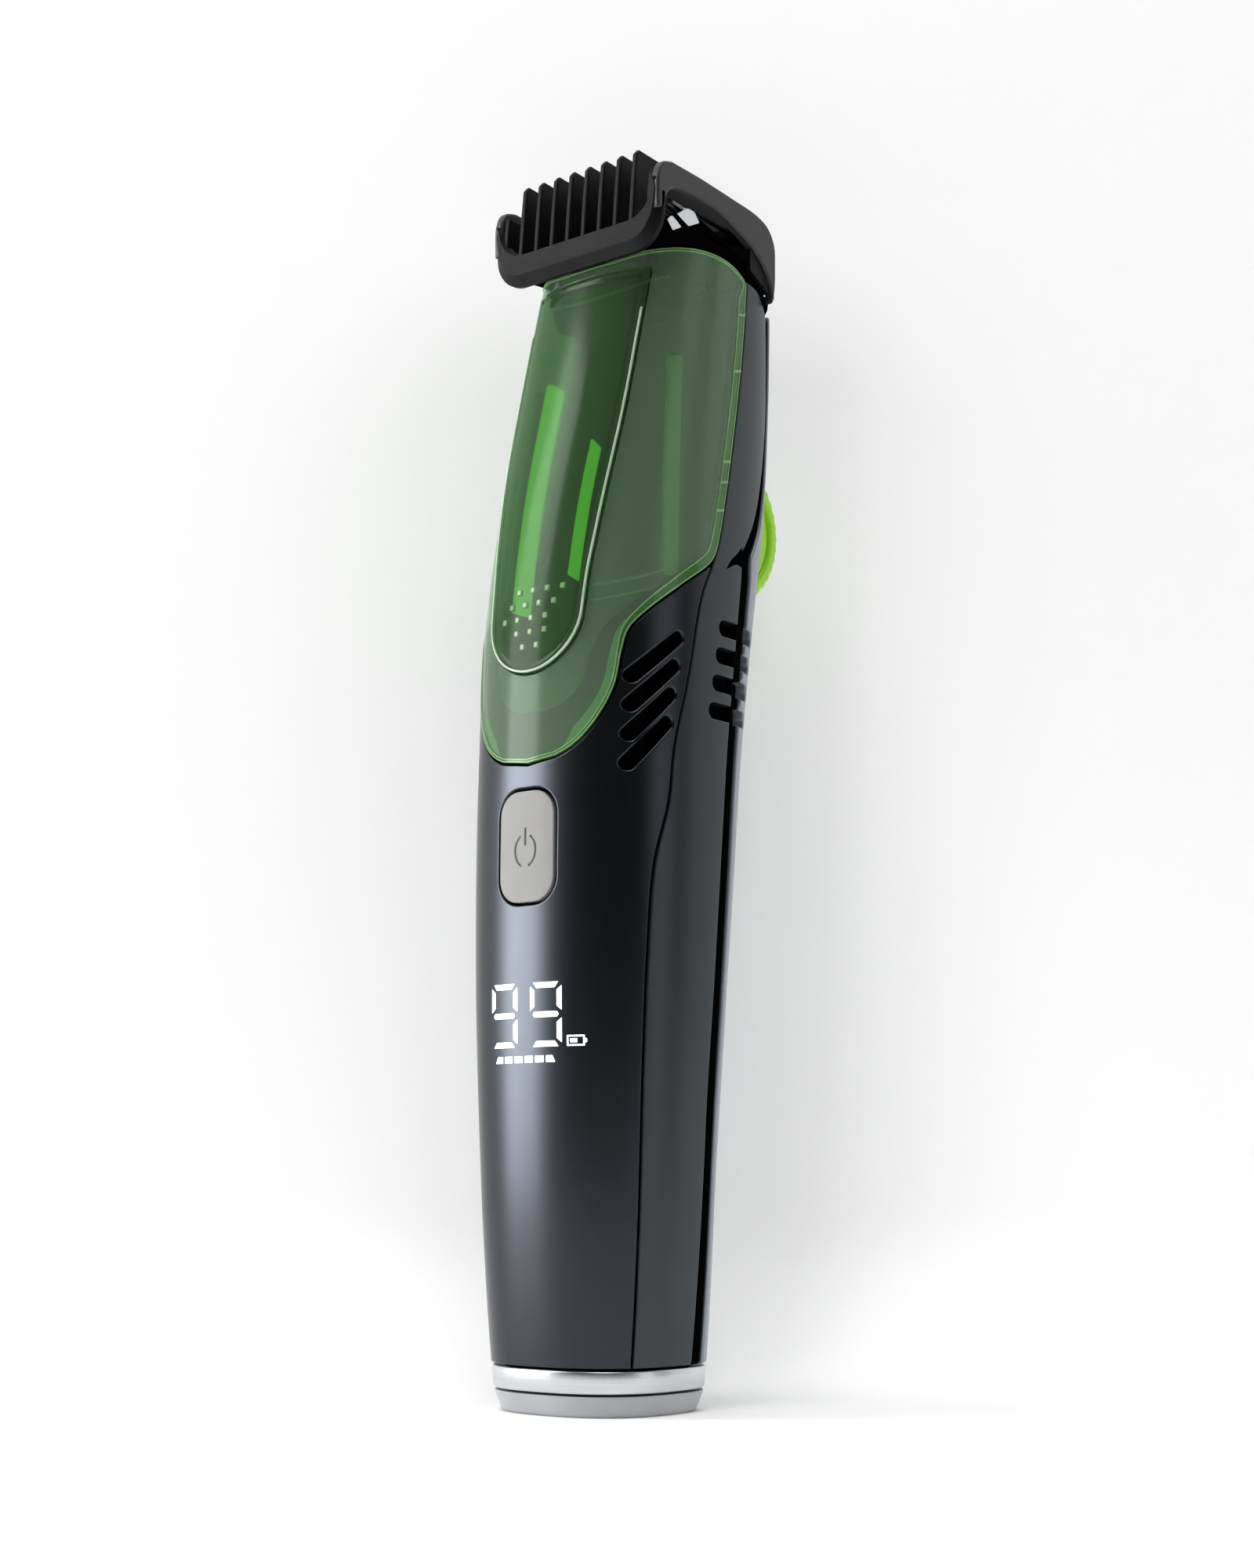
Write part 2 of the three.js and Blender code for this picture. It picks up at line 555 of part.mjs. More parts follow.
// flat toothed plate, tips at y = 0, body running to +depth
function bladeOutline(width, teeth, toothLength, depth) {
  const pitch = width / teeth;
  const shape = new THREE.Shape();
  shape.moveTo(width / 2, depth);
  shape.lineTo(-width / 2, depth);
  for (let i = 0; i < teeth; i += 1) {
    const x = -width / 2 + i * pitch;
    shape.lineTo(x, i === 0 ? toothLength * 0.5 : toothLength);
    shape.lineTo(x + pitch * 0.36, 0);
    shape.lineTo(x + pitch * 0.64, 0);
    shape.lineTo(x + pitch * 0.98, toothLength);
  }
  shape.lineTo(width / 2, toothLength);
  return shape;
}

function fixedBlade() {
  const holes = [-1, 1].map((side) => rod('z', PILOT, -1, 2, [side * BLADE_SCREW_X, 11.6], 16));
  return subtractAll(topPrism(bladeOutline(31, BLADE_TEETH, 2.4, 13.6), 0, 0.6), holes);
}

function movingBlade() {
  return topPrism(bladeOutline(26.5, 22, 2.2, 7.4), 0, 0.5);
}

function drivingYoke() {
  const arm = outline([
    [3.6, 185.8], [3.6, 184.7], [9.5, 183.2], [15.6, 179.9], [23.8, 179.9], [23.8, 181.6], [16.6, 181.6],
    [10.2, 184.1],
  ]);
  const plate = sidePrism(arm, -4.6, 4.6);
  const slot = box([-2.8, 2.8], [17.9, 22.9], [179, 184]);
  return plate.subtract(slot);
}

function cutterBase() {
  const cradle = outline([
    [-3.2, 182.2], [1, 182.5], [9, 182.4], [15, 181], [17.4, 178.8], [22.6, 177.8], [22.6, 179.4],
    [18, 179.8], [14.6, 183.2], [13.2, 184.2], [8.9, 185.3], [8.9, 184.3], [0.2, 186.5], [-3.2, 184.4],
  ]);
  const rearSides = [-1, 1].map((side) => sidedBox(side, [9, 20], [15.6, 30], [170, 190]));
  const yokeRoom = box([-6, 6], [2.6, 30], [179.2, 190]);
  const springRooms = [-1, 1].map((side) => sidedBox(side, [5, 8.2], [3.4, 10], [182.9, 190]));
  const shaftRoom = rod('z', 4.8, 170, 190, [0, 20], 24);
  const screwHoles = [-1, 1].map((side) => rod('z', PILOT, 183.6, 190, [side * BLADE_SCREW_X, 10.4], 12));
  const cutters = [...rearSides, yokeRoom, ...springRooms, shaftRoom, ...screwHoles];
  return subtractAll(sidePrism(cradle, -15, 15), cutters);
}

// leaf that presses the moving blade against the fixed one
function bladeSpring() {
  const leaf = [[4.4, 185.55], [4.4, 185.15], [7, 183.4], [9.4, 183.4], [9.4, 183.8], [7.2, 183.8]];
  return sidePrism(outline(leaf), -0.9, 0.9);
}

// ---- parts on the leaning drive line (local +Z runs up the shaft) ---------------------------
const FAN = { from: 31, radius: 9.5, height: 7, blades: 9 };
const TERMINAL_PITCH = 12.8;    // between the motor's two terminals
const SHAFT_TOP = 106.2;

function motorCan() {
  return rod('z', MOTOR.radius, 3, 3 + MOTOR.length, [0, 0], 36)
    .intersect(box([-20, 20], [-MOTOR.flat, MOTOR.flat], [0, 40]))
    .subtract(rod('z', SHAFT_RADIUS + 0.4, 20, 40, [0, 0], 16));
}

function motorCap() {
  const terminal = box([5.2, 7.6], [-0.4, 0.4], [-2.6, 0.4]);
  return rod('z', MOTOR.radius - 0.6, 0, 2.7, [0, 0], 36)
    .intersect(box([-20, 20], [-MOTOR.flat + 0.4, MOTOR.flat - 0.4], [-5, 40]))
    .add(terminal)
    .add(terminal.translate([-TERMINAL_PITCH, 0, 0]));
}

function motorBush() {
  return rod('z', 3, 27.3, 28.9, [0, 0], 20).subtract(rod('z', SHAFT_RADIUS + 0.4, 20, 40, [0, 0], 16));
}

function driveShaft() {
  return rod('z', SHAFT_RADIUS, 21, SHAFT_TOP, [0, 0], 12);
}

function impeller() {
  const hub = rod('z', 2.6, FAN.from, FAN.from + FAN.height, [0, 0], 16);
  const disc = rod('z', FAN.radius, FAN.from, FAN.from + 1, [0, 0], 32);
  const blades = [];
  for (let i = 0; i < FAN.blades; i += 1) {
    const blade = box([2.2, 9.2], [-0.35, 0.35], [FAN.from + 0.5, FAN.from + FAN.height - 0.4]);
    const leaning = blade.rotate([0, 0, -25]).translate([0.4, 1.2, 0]);
    blades.push(leaning.rotate([0, 0, (i * 360) / FAN.blades]));
  }
  const rim = rod('z', FAN.radius, FAN.from - 1, FAN.from + 10, [0, 0], 32);
  const whole = blades.reduce((a, b) => a.add(b), hub.add(disc)).intersect(rim);
  return whole.subtract(rod('z', SHAFT_RADIUS + 0.3, 20, 60, [0, 0], 16));
}

function fanHousing() {
  const [floor, roof] = [FAN.from - 1.6, FAN.from + FAN.height + 1.6];
  const room = rod('z', 10.4, floor + 1.2, roof - 1.2, [0, 0], 36);
  const cup = rod('z', 11.6, floor, roof, [0, 0], 36).subtract(room);
  const inlet = rod('z', 5.4, roof - 2, roof + 2, [0, 0], 24);
  const axle = rod('z', 1.5, floor - 1, floor + 2, [0, 0], 16);
  const outlets = box([-20, 20], [-5, 5], [floor + 1.6, roof - 1.6]);
  return subtractAll(cup, [inlet, axle, outlets]);
}

function shaftBearing() {
  return rod('z', 2.1, 102.2, 105, [0, 0], 16).subtract(rod('z', SHAFT_RADIUS + 0.3, 90, 110, [0, 0], 12));
}

function shaftBracket() {
  const bar = box([-9.4, 9.4], [-1.5, 4.2], [102.4, 104.8]);
  const openFront = box([-2.4, 2.4], [-6, 0], [90, 110]);
  const [x, y] = BRACKET_SCREW;
  const holes = [-x, x].map((middle) => rod('z', PILOT, 90, 110, [middle, y], 12));
  return subtractAll(bar, [rod('z', 2.4, 90, 110, [0, 0], 16), openFront, ...holes]);
}

function eccentric() {
  const disc = rod('z', 3, SHAFT_TOP + 0.3, SHAFT_TOP + 2.3, [0, 0], 24);
  return disc.add(rod('z', 0.8, SHAFT_TOP + 2, SHAFT_TOP + 6, [STROKE, 0], 16));
}

// ---- electrics ----------------------------------------------------------------------------
function powerButton() {
  const cap = bodyLoft(-0.25, 70, 98).subtract(bodyLoft(1.5, 60, 110));
  const shape = roundedRect(BUTTON.width, BUTTON.height, BUTTON.corner, 0, BUTTON.z);
  const stem = rod('y', 1.6, -16.4, -15.5, [0, BUTTON.z], 16);
  return cap.intersect(frontPrism(shape, -25, -8)).add(stem);
}

function tactSwitch() {
  const body = box([-3, 3], [-14.6, -13], [BUTTON.z - 3, BUTTON.z + 3]);
  return body.add(rod('y', 1.2, -14.9, -14.3, [0, BUTTON.z], 16));
}

function buttonSeal() {
  const outer = roundedRect(BUTTON.width + 2.4, BUTTON.height + 2.4, BUTTON.corner + 1, 0, BUTTON.z);
  const inner = roundedRect(BUTTON.width - 2.6, BUTTON.height - 2.6, BUTTON.corner - 1, 0, BUTTON.z);
  return frontPrism(outer, -13.9, -13).subtract(frontPrism(inner, -15, -12));
}

function displayModule() {
  const { x, z, width, height } = DISPLAY;
  const block = box([x - width / 2, x + width / 2], [-12.6, -11], [z - height / 2, z + height / 2]);
  const digits = [-4.3, 3.8].map(
    (middle) => box([middle - 2.9, middle + 2.9], [-13.1, -12.4], [z - 4, z + 6.2]),
  );
  const bars = box([-6.4, 6.4], [-13.1, -12.4], [z - 6.6, z - 4.8]);
  return joinAll([block, ...digits, bars]);
}

function chargeSocket() {
  const { y, width, depth, height } = SOCKET;
  const shell = topPrism(roundedRect(width, depth, 1.5, 0, y), 0.5, 0.5 + height);
  const mouth = topPrism(roundedRect(width - 0.8, depth - 0.8, 1.1, 0, y), -1, 6.3);
  const tongue = box([-3.2, 3.2], [y - 0.35, y + 0.35], [1.6, 6.6]);
  return shell.subtract(mouth).add(tongue);
}

// flat pad across the cell's end from z up, with a tail that runs between two heights
function batteryTab(z, tailHeights) {
  const { y, tab } = BATTERY;
  const pad = box([-3, 3], [y - 9, y + 3], [z, z + tab]);
  return pad.add(box([-1.5, 1.5], [y - 9, y - 9 + tab], tailHeights));
}

// ---- intake filter between the hair chamber and the fan --------------------------------------
function filterFrame() {
  return box([-10, 10], [-6.8, 6.8], [-0.8, 0.8]).subtract(box([-8.8, 8.8], [-5.6, 5.6], [-2, 2]));
}

function filterMesh() {
  const sheet = box([-8.5, 8.5], [-5.3, 5.3], [-0.2, 0.2]);
  const holes = [];
  for (let column = -2; column <= 2; column += 1) {
    for (let row = -1; row <= 1; row += 1) {
      const [x, y] = [column * 3.3, row * 3.3];
      holes.push(box([x - 1.3, x + 1.3], [y - 1.3, y + 1.3], [-1, 1]));
    }
  }
  return subtractAll(sheet, holes);
}

// ---- screws -------------------------------------------------------------------------------
function screw(headRadius, length) {
  const head = rod('z', headRadius, 0, 1.1, [0, 0], 12);
  const thread = rod('z', headRadius * 0.5, -length, 0.2, [0, 0], 8);
  const arm = headRadius * 0.7;
  const recess = [0, 90].map((turn) => box([-arm, arm], [-0.22, 0.22], [0.6, 2]).rotate([0, 0, turn]));
  return subtractAll(head.add(thread), recess);
}

// ---- assembly -----------------------------------------------------------------------------
const FINISH = {
  shell: { color: 0x2c343f, roughness: 0.38, metalness: 0.35 },
  panel: { color: 0x33373d, roughness: 0.4, metalness: 0.3 },
  back: { color: 0x9aa0a8, roughness: 0.35, metalness: 0.5 },
  black: { color: 0x0c0d0f, roughness: 0.25, metalness: 0 },
  matte: { color: 0x202224, roughness: 0.5, metalness: 0 },
  green: { color: 0x3f8a4a, roughness: 0.08, metalness: 0, transparent: true, opacity: 0.45 },
  lime: { color: 0x8fd41a, roughness: 0.35, metalness: 0 },
  satin: { color: 0xd0d2d5, roughness: 0.3, metalness: 1 },
  foot: { color: 0xa3a5a8, roughness: 0.5, metalness: 0 },
  button: { color: 0xb9b8b6, roughness: 0.45, metalness: 0 },
  steel: { color: 0xc9ccd0, roughness: 0.25, metalness: 1 },
  brass: { color: 0xb08d57, roughness: 0.35, metalness: 1 },
  board: { color: 0x1d5a36, roughness: 0.6, metalness: 0 },
  cell: { color: 0x2f6fb3, roughness: 0.45, metalness: 0 },
  rubber: { color: 0x1a1a1a, roughness: 0.9, metalness: 0 },
};

const group = new THREE.Group();
const driveLine = new THREE.Group();
driveLine.position.set(0, ...SHAFT_FOOT);
driveLine.rotation.x = -THREE.MathUtils.degToRad(SHAFT_LEAN);
const blades = new THREE.Group();
blades.position.set(0, -0.4, 188.2);
blades.rotation.x = -THREE.MathUtils.degToRad(BLADE_SLOPE);
const wheelGroup = new THREE.Group();
wheelGroup.position.set(0, WHEEL.y, WHEEL.z);
const filterGroup = new THREE.Group();
filterGroup.position.set(0, ...FILTER.centre);
filterGroup.rotation.x = THREE.MathUtils.degToRad(FILTER.slope);
group.add(driveLine, blades, wheelGroup, filterGroup);

function place(parent, name, solid, finish, position = [0, 0, 0]) {
  const mesh = new THREE.Mesh(toGeometry(solid), new THREE.MeshStandardMaterial(FINISH[finish]));
  mesh.name = name;
  mesh.position.set(...position);
  parent.add(mesh);
  return mesh;
}

place(group, 'front_shell', frontShell(), 'shell');
place(group, 'side_panel_left', sidePanel(-1), 'panel');
place(group, 'side_panel_right', sidePanel(1), 'panel');
place(group, 'back_panel', backPanel(), 'back');
place(group, 'inner_frame_front', frameFront(), 'black');
place(group, 'inner_frame_rear', frameRear(), 'black');
place(group, 'rear_deck', rearDeck(), 'black');
place(group, 'base_foot', baseFoot(), 'foot');
place(group, 'base_ring', baseRing(), 'satin');
place(group, 'hair_chamber', chamberShell(), 'green');
place(group, 'thumb_cover', thumbCover(), 'green');
place(group, 'comb_guard', combGuard(), 'matte');
place(group, 'comb_carriage', combCarriage(), 'matte');
place(group, 'cutter_base', cutterBase(), 'matte');
place(group, 'drive_yoke', drivingYoke(), 'matte');
place(group, 'power_button', powerButton(), 'button');
place(group, 'tact_switch', tactSwitch(), 'steel');
place(group, 'charge_socket', chargeSocket(), 'steel');

place(driveLine, 'motor_can', motorCan(), 'steel');
place(driveLine, 'motor_cap', motorCap(), 'matte');
place(driveLine, 'motor_bush', motorBush(), 'brass');
place(driveLine, 'drive_shaft', driveShaft(), 'steel');
place(driveLine, 'impeller', impeller(), 'matte');
place(driveLine, 'fan_housing', fanHousing(), 'matte');
place(driveLine, 'shaft_bearing', shaftBearing(), 'brass');
place(driveLine, 'shaft_bracket', shaftBracket(), 'matte');
place(driveLine, 'eccentric', eccentric(), 'steel');

place(blades, 'fixed_blade', fixedBlade(), 'steel');
place(blades, 'moving_blade', movingBlade(), 'steel', [0, 0.8, -0.85]);

place(wheelGroup, 'wheel_axle', rod('x', AXLE_RADIUS, -WHEEL.to, WHEEL.to, [0, 0], 12), 'steel');
[['left', -1], ['right', 1]].forEach(([hand, side]) => {
  const [discMiddle, pinionMiddle] = [(WHEEL.from + WHEEL.to) / 2, (PINION.from + PINION.to) / 2];
  place(wheelGroup, `zoom_wheel_${hand}`, wheelDisc(), 'lime', [side * discMiddle, 0, 0]);
  place(wheelGroup, `wheel_pinion_${hand}`, wheelPinion(), 'matte', [side * pinionMiddle, 0, 0]);
  place(group, `blade_spring_${hand}`, bladeSpring(), 'steel', [side * 7, 0, 0]);
});

place(filterGroup, 'filter_frame', filterFrame(), 'matte');
place(filterGroup, 'filter_mesh', filterMesh(), 'matte');
place(group, 'button_seal', buttonSeal(), 'rubber');
place(group, 'display_module', displayModule(), 'matte');
const cell = rod('z', BATTERY.radius, BATTERY.from, BATTERY.to, [0, BATTERY.y], 32);
const [tabUnder, tabOver] = [BATTERY.from - GAP - BATTERY.tab, BATTERY.to + GAP];
place(group, 'battery_cell', cell, 'cell');
place(group, 'battery_tab_positive', batteryTab(tabOver, [tabOver - 6, tabOver]), 'steel');
place(group, 'battery_tab_negative', batteryTab(tabUnder, [tabUnder, tabUnder + 6]), 'steel');
place(group, 'control_board', box([-7, 7], [-10.6, -9.6], [22, 66]), 'board');
place(group, 'switch_board', box([-5.8, 5.8], [-12.7, -11.7], [75, 94]), 'board');
place(group, 'charge_board', box([-8, 8], [-2, 7.6], [8, 9]), 'board');

// [name, parent, position, turn about X in degrees, head radius, thread length]
[-1, 1].forEach((side) => {
  const hand = side < 0 ? 'left' : 'right';
  const screws = [
    [`blade_screw_${hand}`, blades, [side * BLADE_SCREW_X, 11.6, 0.9], 0, 1.9, 1.6],
    [`foot_screw_${hand}`, group, [side * FOOT_SCREW[0], FOOT_SCREW[1], 1.9], 180, 1.9, 5],
    [`bracket_screw_${hand}`, driveLine, [side * BRACKET_SCREW[0], BRACKET_SCREW[1], 105.1], 0, 1.7, 2.3],
    [`motor_screw_${hand}`, driveLine, [side * MOTOR_SCREW_X, 0, 27.9], 0, 1.5, 0.2],
  ];
  screws.forEach(([name, parent, position, turn, radius, length]) => {
    const mesh = place(parent, name, screw(radius, length), 'steel', position);
    mesh.rotation.x = THREE.MathUtils.degToRad(turn);
  });
});

export default group;
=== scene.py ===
"""Looks of the vacuum beard trimmer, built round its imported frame.

Shapes are worked out in millimetres and turned into metres when their mesh is made.
The skin is the same lofted surface that the casing parts are cut from. Each visible panel is a
closed solid: its outline lies in a chart of the skin, its rim is rolled over in rings, and the
field inside is triangulated.
"""
import json
import math

import bpy
import numpy as np
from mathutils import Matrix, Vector
from mathutils.geometry import delaunay_2d_cdt


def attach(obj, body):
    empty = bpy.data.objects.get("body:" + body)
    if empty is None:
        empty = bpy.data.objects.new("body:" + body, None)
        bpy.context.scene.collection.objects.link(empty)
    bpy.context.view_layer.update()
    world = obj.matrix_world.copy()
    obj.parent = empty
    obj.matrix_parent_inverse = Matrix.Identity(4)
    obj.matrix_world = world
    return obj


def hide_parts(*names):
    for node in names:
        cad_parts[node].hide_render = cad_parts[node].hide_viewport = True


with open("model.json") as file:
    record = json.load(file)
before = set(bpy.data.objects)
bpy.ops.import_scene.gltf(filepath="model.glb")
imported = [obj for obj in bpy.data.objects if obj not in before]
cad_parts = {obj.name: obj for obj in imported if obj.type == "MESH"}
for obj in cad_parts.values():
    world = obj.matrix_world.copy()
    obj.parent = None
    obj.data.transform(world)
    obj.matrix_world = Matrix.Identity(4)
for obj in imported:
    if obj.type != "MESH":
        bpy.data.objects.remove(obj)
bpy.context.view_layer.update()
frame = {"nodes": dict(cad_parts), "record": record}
NODES = frame["nodes"]
MM = 0.001

# ---- driving dimensions, in millimetres -------------------------------------------------------
FRONT_POWER = 2.5
BACK_POWER = 3.0
# height, half width, y of the widest point, y of the front, y of the back
SECTIONS = np.array([
    [0, 14.9, 0, -14.4, 12.0],
    [7, 15.7, 0, -15.2, 12.4],
    [20, 16.6, 0, -16.2, 12.9],
    [35, 17.4, 0, -17.0, 13.4],
    [60, 18.7, 0.3, -17.5, 15.0],
    [80, 19.2, 1.0, -17.6, 17.1],
    [100, 19.3, 2.0, -17.3, 19.6],
    [120, 19.2, 3.5, -16.4, 23.3],
    [140, 18.6, 6.0, -13.4, 27.8],
    [160, 17.9, 9.0, -8.7, 30.2],
    [184, 17.2, 12.0, -2.4, 31.4],
])
SHELL = 1.8                     # wall of the casing panels
GAP = 0.3                       # between neighbouring panels
BASE_TOP = 7.1
RING_FROM, RING_TO = 3.4, 6.8
FOOT_TOP = 3.1
BODY_TOP = 176.5
STRIP_WIDTH = 3.0
STRIP_DEPTH = 0.35
BUTTON_Z, BUTTON_WIDTH, BUTTON_HEIGHT, BUTTON_CORNER = 84.2, 10.8, 17.0, 3.8
WHEEL_Y, WHEEL_Z, WHEEL_RADIUS, WHEEL_FROM, WHEEL_TO = 22.0, 141.0, 12.8, 5.0, 9.5
COMB_X = 17.6
COMB_TINES = 8
TINE_PITCH = 3.37

# side-view seams as (y, z)
CHAMBER_EDGE = [
    (-24, 82.8), (-17.4, 96.9), (-16, 99.9), (-14.3, 104.3), (-13, 108.5), (-12.2, 113.4), (-11.2, 117),
    (-8.3, 120.4), (-2.7, 124.8), (4.3, 129.7), (5.8, 132.1), (11, 151.2), (14.3, 166.6), (16, 178.2),
]
CHAMBER_TOP = [(15.4, 179.5), (12.5, 180.9), (7, 181.7), (1, 181.6), (-2, 181), (-3.6, 180), (-8, 177)]
FRONT_SEAM = [
    (-9, 0), (-9.3, 30.7), (-9.6, 52), (-9.4, 67.1), (-8.4, 81.2), (-5.9, 90.9), (-4.8, 99), (-1.7, 110.6),
    (1.5, 123.2), (4.6, 129.3),
]
STRIP_LOWER = [(2.4, 0), (3.8, 30.6), (4.3, 52.5), (8.1, 99.8), (11.8, 123.8), (12.7, 128.9)]
STRIP_UPPER = [(12.9, 132.6), (17.3, 139.1), (20.8, 148.6), (22.6, 158.4), (23, 174), (23, 184)]
HOOK_TIP = (8.3, 129.2)
PANEL_TOP = [(22.6, 175.6), (19.8, 178.6), (16.2, 179.3)]

# ---- the skin ---------------------------------------------------------------------------------
_before = np.vstack([SECTIONS[:1], SECTIONS[:-1]])
_after = np.vstack([SECTIONS[1:], SECTIONS[-1:]])
SLOPES = (_after - _before)[:, 1:] / (_after - _before)[:, :1]


def hermite(t, gap, start, end, start_slope, end_slope):
    """Smooth run over a gap from start to end with given slopes, as t goes from 0 to 1."""
    return (
        (2 * t**3 - 3 * t**2 + 1) * start
        + (t**3 - 2 * t**2 + t) * gap * start_slope
        + (3 * t**2 - 2 * t**3) * end
        + (t**3 - t**2) * gap * end_slope
    )


def section_at(z):
    """Half width, y of the widest point, of the front and of the back at each height."""
    z = np.asarray(z, float)
    i = np.clip(np.searchsorted(SECTIONS[:, 0], z, side="right") - 1, 0, len(SECTIONS) - 2)
    low, high = SECTIONS[i], SECTIONS[i + 1]
    span = (high - low)[..., :1]
    t = (z[..., None] - low[..., :1]) / span
    return hermite(t, span, low[..., 1:], high[..., 1:], SLOPES[i], SLOPES[i + 1])


def on_section(z, turn, inset=0.0):
    """x and y at angles round the section at a height, moved in by an inset."""
    half, middle, front, back = section_at(z)
    c, s = np.cos(turn), np.sin(turn)
    power = np.where(s < 0, 2 / FRONT_POWER, 2 / BACK_POWER)
    depth = np.where(s < 0, middle - front, back - middle)
    x = np.sign(c) * np.abs(c) ** power * (half - inset)
    y = middle + np.sign(s) * np.abs(s) ** power * (depth - inset)
    return x, y


def section_loop(z, inset, steps=160):
    """The section at a height as a closed loop of (x, y)."""
    return np.stack(on_section(z, np.linspace(0, 2 * math.pi, steps, endpoint=False), inset), 1)


LEVEL_STEP = 0.5
LEVELS = np.arange(-1, 186 + LEVEL_STEP, LEVEL_STEP)
COLUMNS = 481
SHARES = np.linspace(0, 1, COLUMNS)
SAMPLES = 1601                  # along half a section, before it is spaced evenly


def half_section(z):
    """Right half of a section from the front to the back, evenly spaced, and its length."""
    x, y = on_section(z, np.linspace(-math.pi / 2, math.pi / 2, SAMPLES))
    along = np.concatenate([[0], np.cumsum(np.hypot(np.diff(x), np.diff(y)))])
    share = along / along[-1]
    return np.interp(SHARES, share, x), np.interp(SHARES, share, y), along[-1]


TABLE = [half_section(z) for z in LEVELS]
TABLE_X = np.array([row[0] for row in TABLE])
TABLE_Y = np.array([row[1] for row in TABLE])
HALF_GIRTH = np.array([row[2] for row in TABLE])


def skin_normal(points):
    """Outward unit normals of the skin at points on it."""
    x, y, z = points.T

    def fill(height):
        half, middle, front, back = section_at(height).T
        ahead = y < middle
        power = np.where(ahead, FRONT_POWER, BACK_POWER)
        depth = np.where(ahead, middle - front, back - middle)
        return half, middle, power, depth

    def level(height):
        half, middle, power, depth = fill(height)
        return (np.abs(x) / half) ** power + (np.abs(y - middle) / depth) ** power

    half, middle, power, depth = fill(z)
    step = 0.25
    normal = np.stack([
        power * np.sign(x) * np.abs(x) ** (power - 1) / half**power,
        power * np.sign(y - middle) * np.abs(y - middle) ** (power - 1) / depth**power,
        (level(z + step) - level(z - step)) / (2 * step),
    ], 1)
    return normal / np.linalg.norm(normal, axis=1, keepdims=True)


def skin_rows(z):
    """Row of the table below each height, and the part of a step above it."""
    level = ((z - LEVELS[0]) / LEVEL_STEP).clip(0, len(LEVELS) - 1.001)
    row = level.astype(int)
    return row, level - row


def skin_point(uv, from_back):
    """Points of the skin. u runs round the section from the middle of the front, or of the back."""
    u, z = uv.T
    row, part = skin_rows(z)
    girth = HALF_GIRTH[row] * (1 - part) + HALF_GIRTH[row + 1] * part
    share = (np.abs(u) / girth).clip(0, 1)
    if from_back:
        share = 1 - share
    column = np.minimum((share * (COLUMNS - 1)).astype(int), COLUMNS - 2)
    rest = share * (COLUMNS - 1) - column

    def blend(table):
        low = table[row, column] * (1 - rest) + table[row, column + 1] * rest
        high = table[row + 1, column] * (1 - rest) + table[row + 1, column + 1] * rest
        return low * (1 - part) + high * part

    side = -np.sign(u) if from_back else np.sign(u)
    return np.stack([side * blend(TABLE_X), blend(TABLE_Y), z], 1)


def front_chart(uv):
    points = skin_point(uv, False)
    return points, skin_normal(points)


def back_chart(uv):
    points = skin_point(uv, True)
    return points, skin_normal(points)


def flat_chart(origin, u_axis, v_axis):
    """Chart of a plane, seen from the side that u x v points to."""
    origin, u_axis, v_axis = (np.array(a, float) for a in (origin, u_axis, v_axis))
    normal = np.cross(u_axis, v_axis)

    def chart(uv):
        points = origin + uv[:, :1] * u_axis + uv[:, 1:] * v_axis
        return points, np.tile(normal, (len(uv), 1))

    return chart


def curve_at(z):
    """x and y of the half section at one height, and its length."""
    row, part = skin_rows(np.float64(z))
    return [table[row] * (1 - part) + table[row + 1] * part for table in (TABLE_X, TABLE_Y, HALF_GIRTH)]


def half_width(y, z):
    """Half width of the skin at depth y."""
    xs, ys, _ = curve_at(z)
    return float(np.interp(y, ys, xs))


def u_of_y(y, z):
    """Distance round the section from the front to the place at depth y, on the right."""
    _, ys, girth = curve_at(z)
    return np.interp(y, ys, SHARES) * girth


def u_of_x(x, z, from_back=False):
    """Distance round the section from the middle of the front or of the back to half width x."""
    xs, _, girth = curve_at(z)
    count = int(np.argmax(xs))
    if from_back:
        xs, count = xs[::-1], COLUMNS - count
    return np.interp(abs(x), xs[:count], SHARES[:count]) * girth * np.sign(x)


def girth_at(z):
    return np.interp(z, LEVELS, HALF_GIRTH)


# ---- outlines ---------------------------------------------------------------------------------
def smooth(points, step=0.8):
    """Points about a step apart along a smooth curve through the given ones."""
    points = np.array(points, float)
    chord = np.sqrt(np.linalg.norm(np.diff(points, axis=0), axis=1))
    knots = np.concatenate([[0], np.cumsum(chord)])
    slopes = np.gradient(points, knots, axis=0)
    found = []
    for i, gap in enumerate(np.diff(knots)):
        count = max(1, round(float(np.linalg.norm(points[i + 1] - points[i])) / step))
        t = (np.arange(count) / count)[:, None]
        found.append(hermite(t, gap, points[i], points[i + 1], slopes[i], slopes[i + 1]))
    return np.vstack([*found, points[-1:]])


def straight(a, b, step=0.8):
    """Points from a towards b, without b."""
    count = max(1, round(math.dist(a, b) / step))
    t = (np.arange(count) / count)[:, None]
    return np.array(a) * (1 - t) + np.array(b) * t


def densify(corners, step):
    """A closed loop with its straight runs split."""
    closed = [*corners, corners[0]]
    return np.vstack([straight(a, b, step) for a, b in zip(closed, closed[1:])])


def arc(centre, radius, start, end, steps=8):
    """Points on an arc, angles in degrees."""
    turn = np.radians(np.linspace(start, end, steps + 1))
    return np.stack([centre[0] + radius * np.cos(turn), centre[1] + radius * np.sin(turn)], 1)


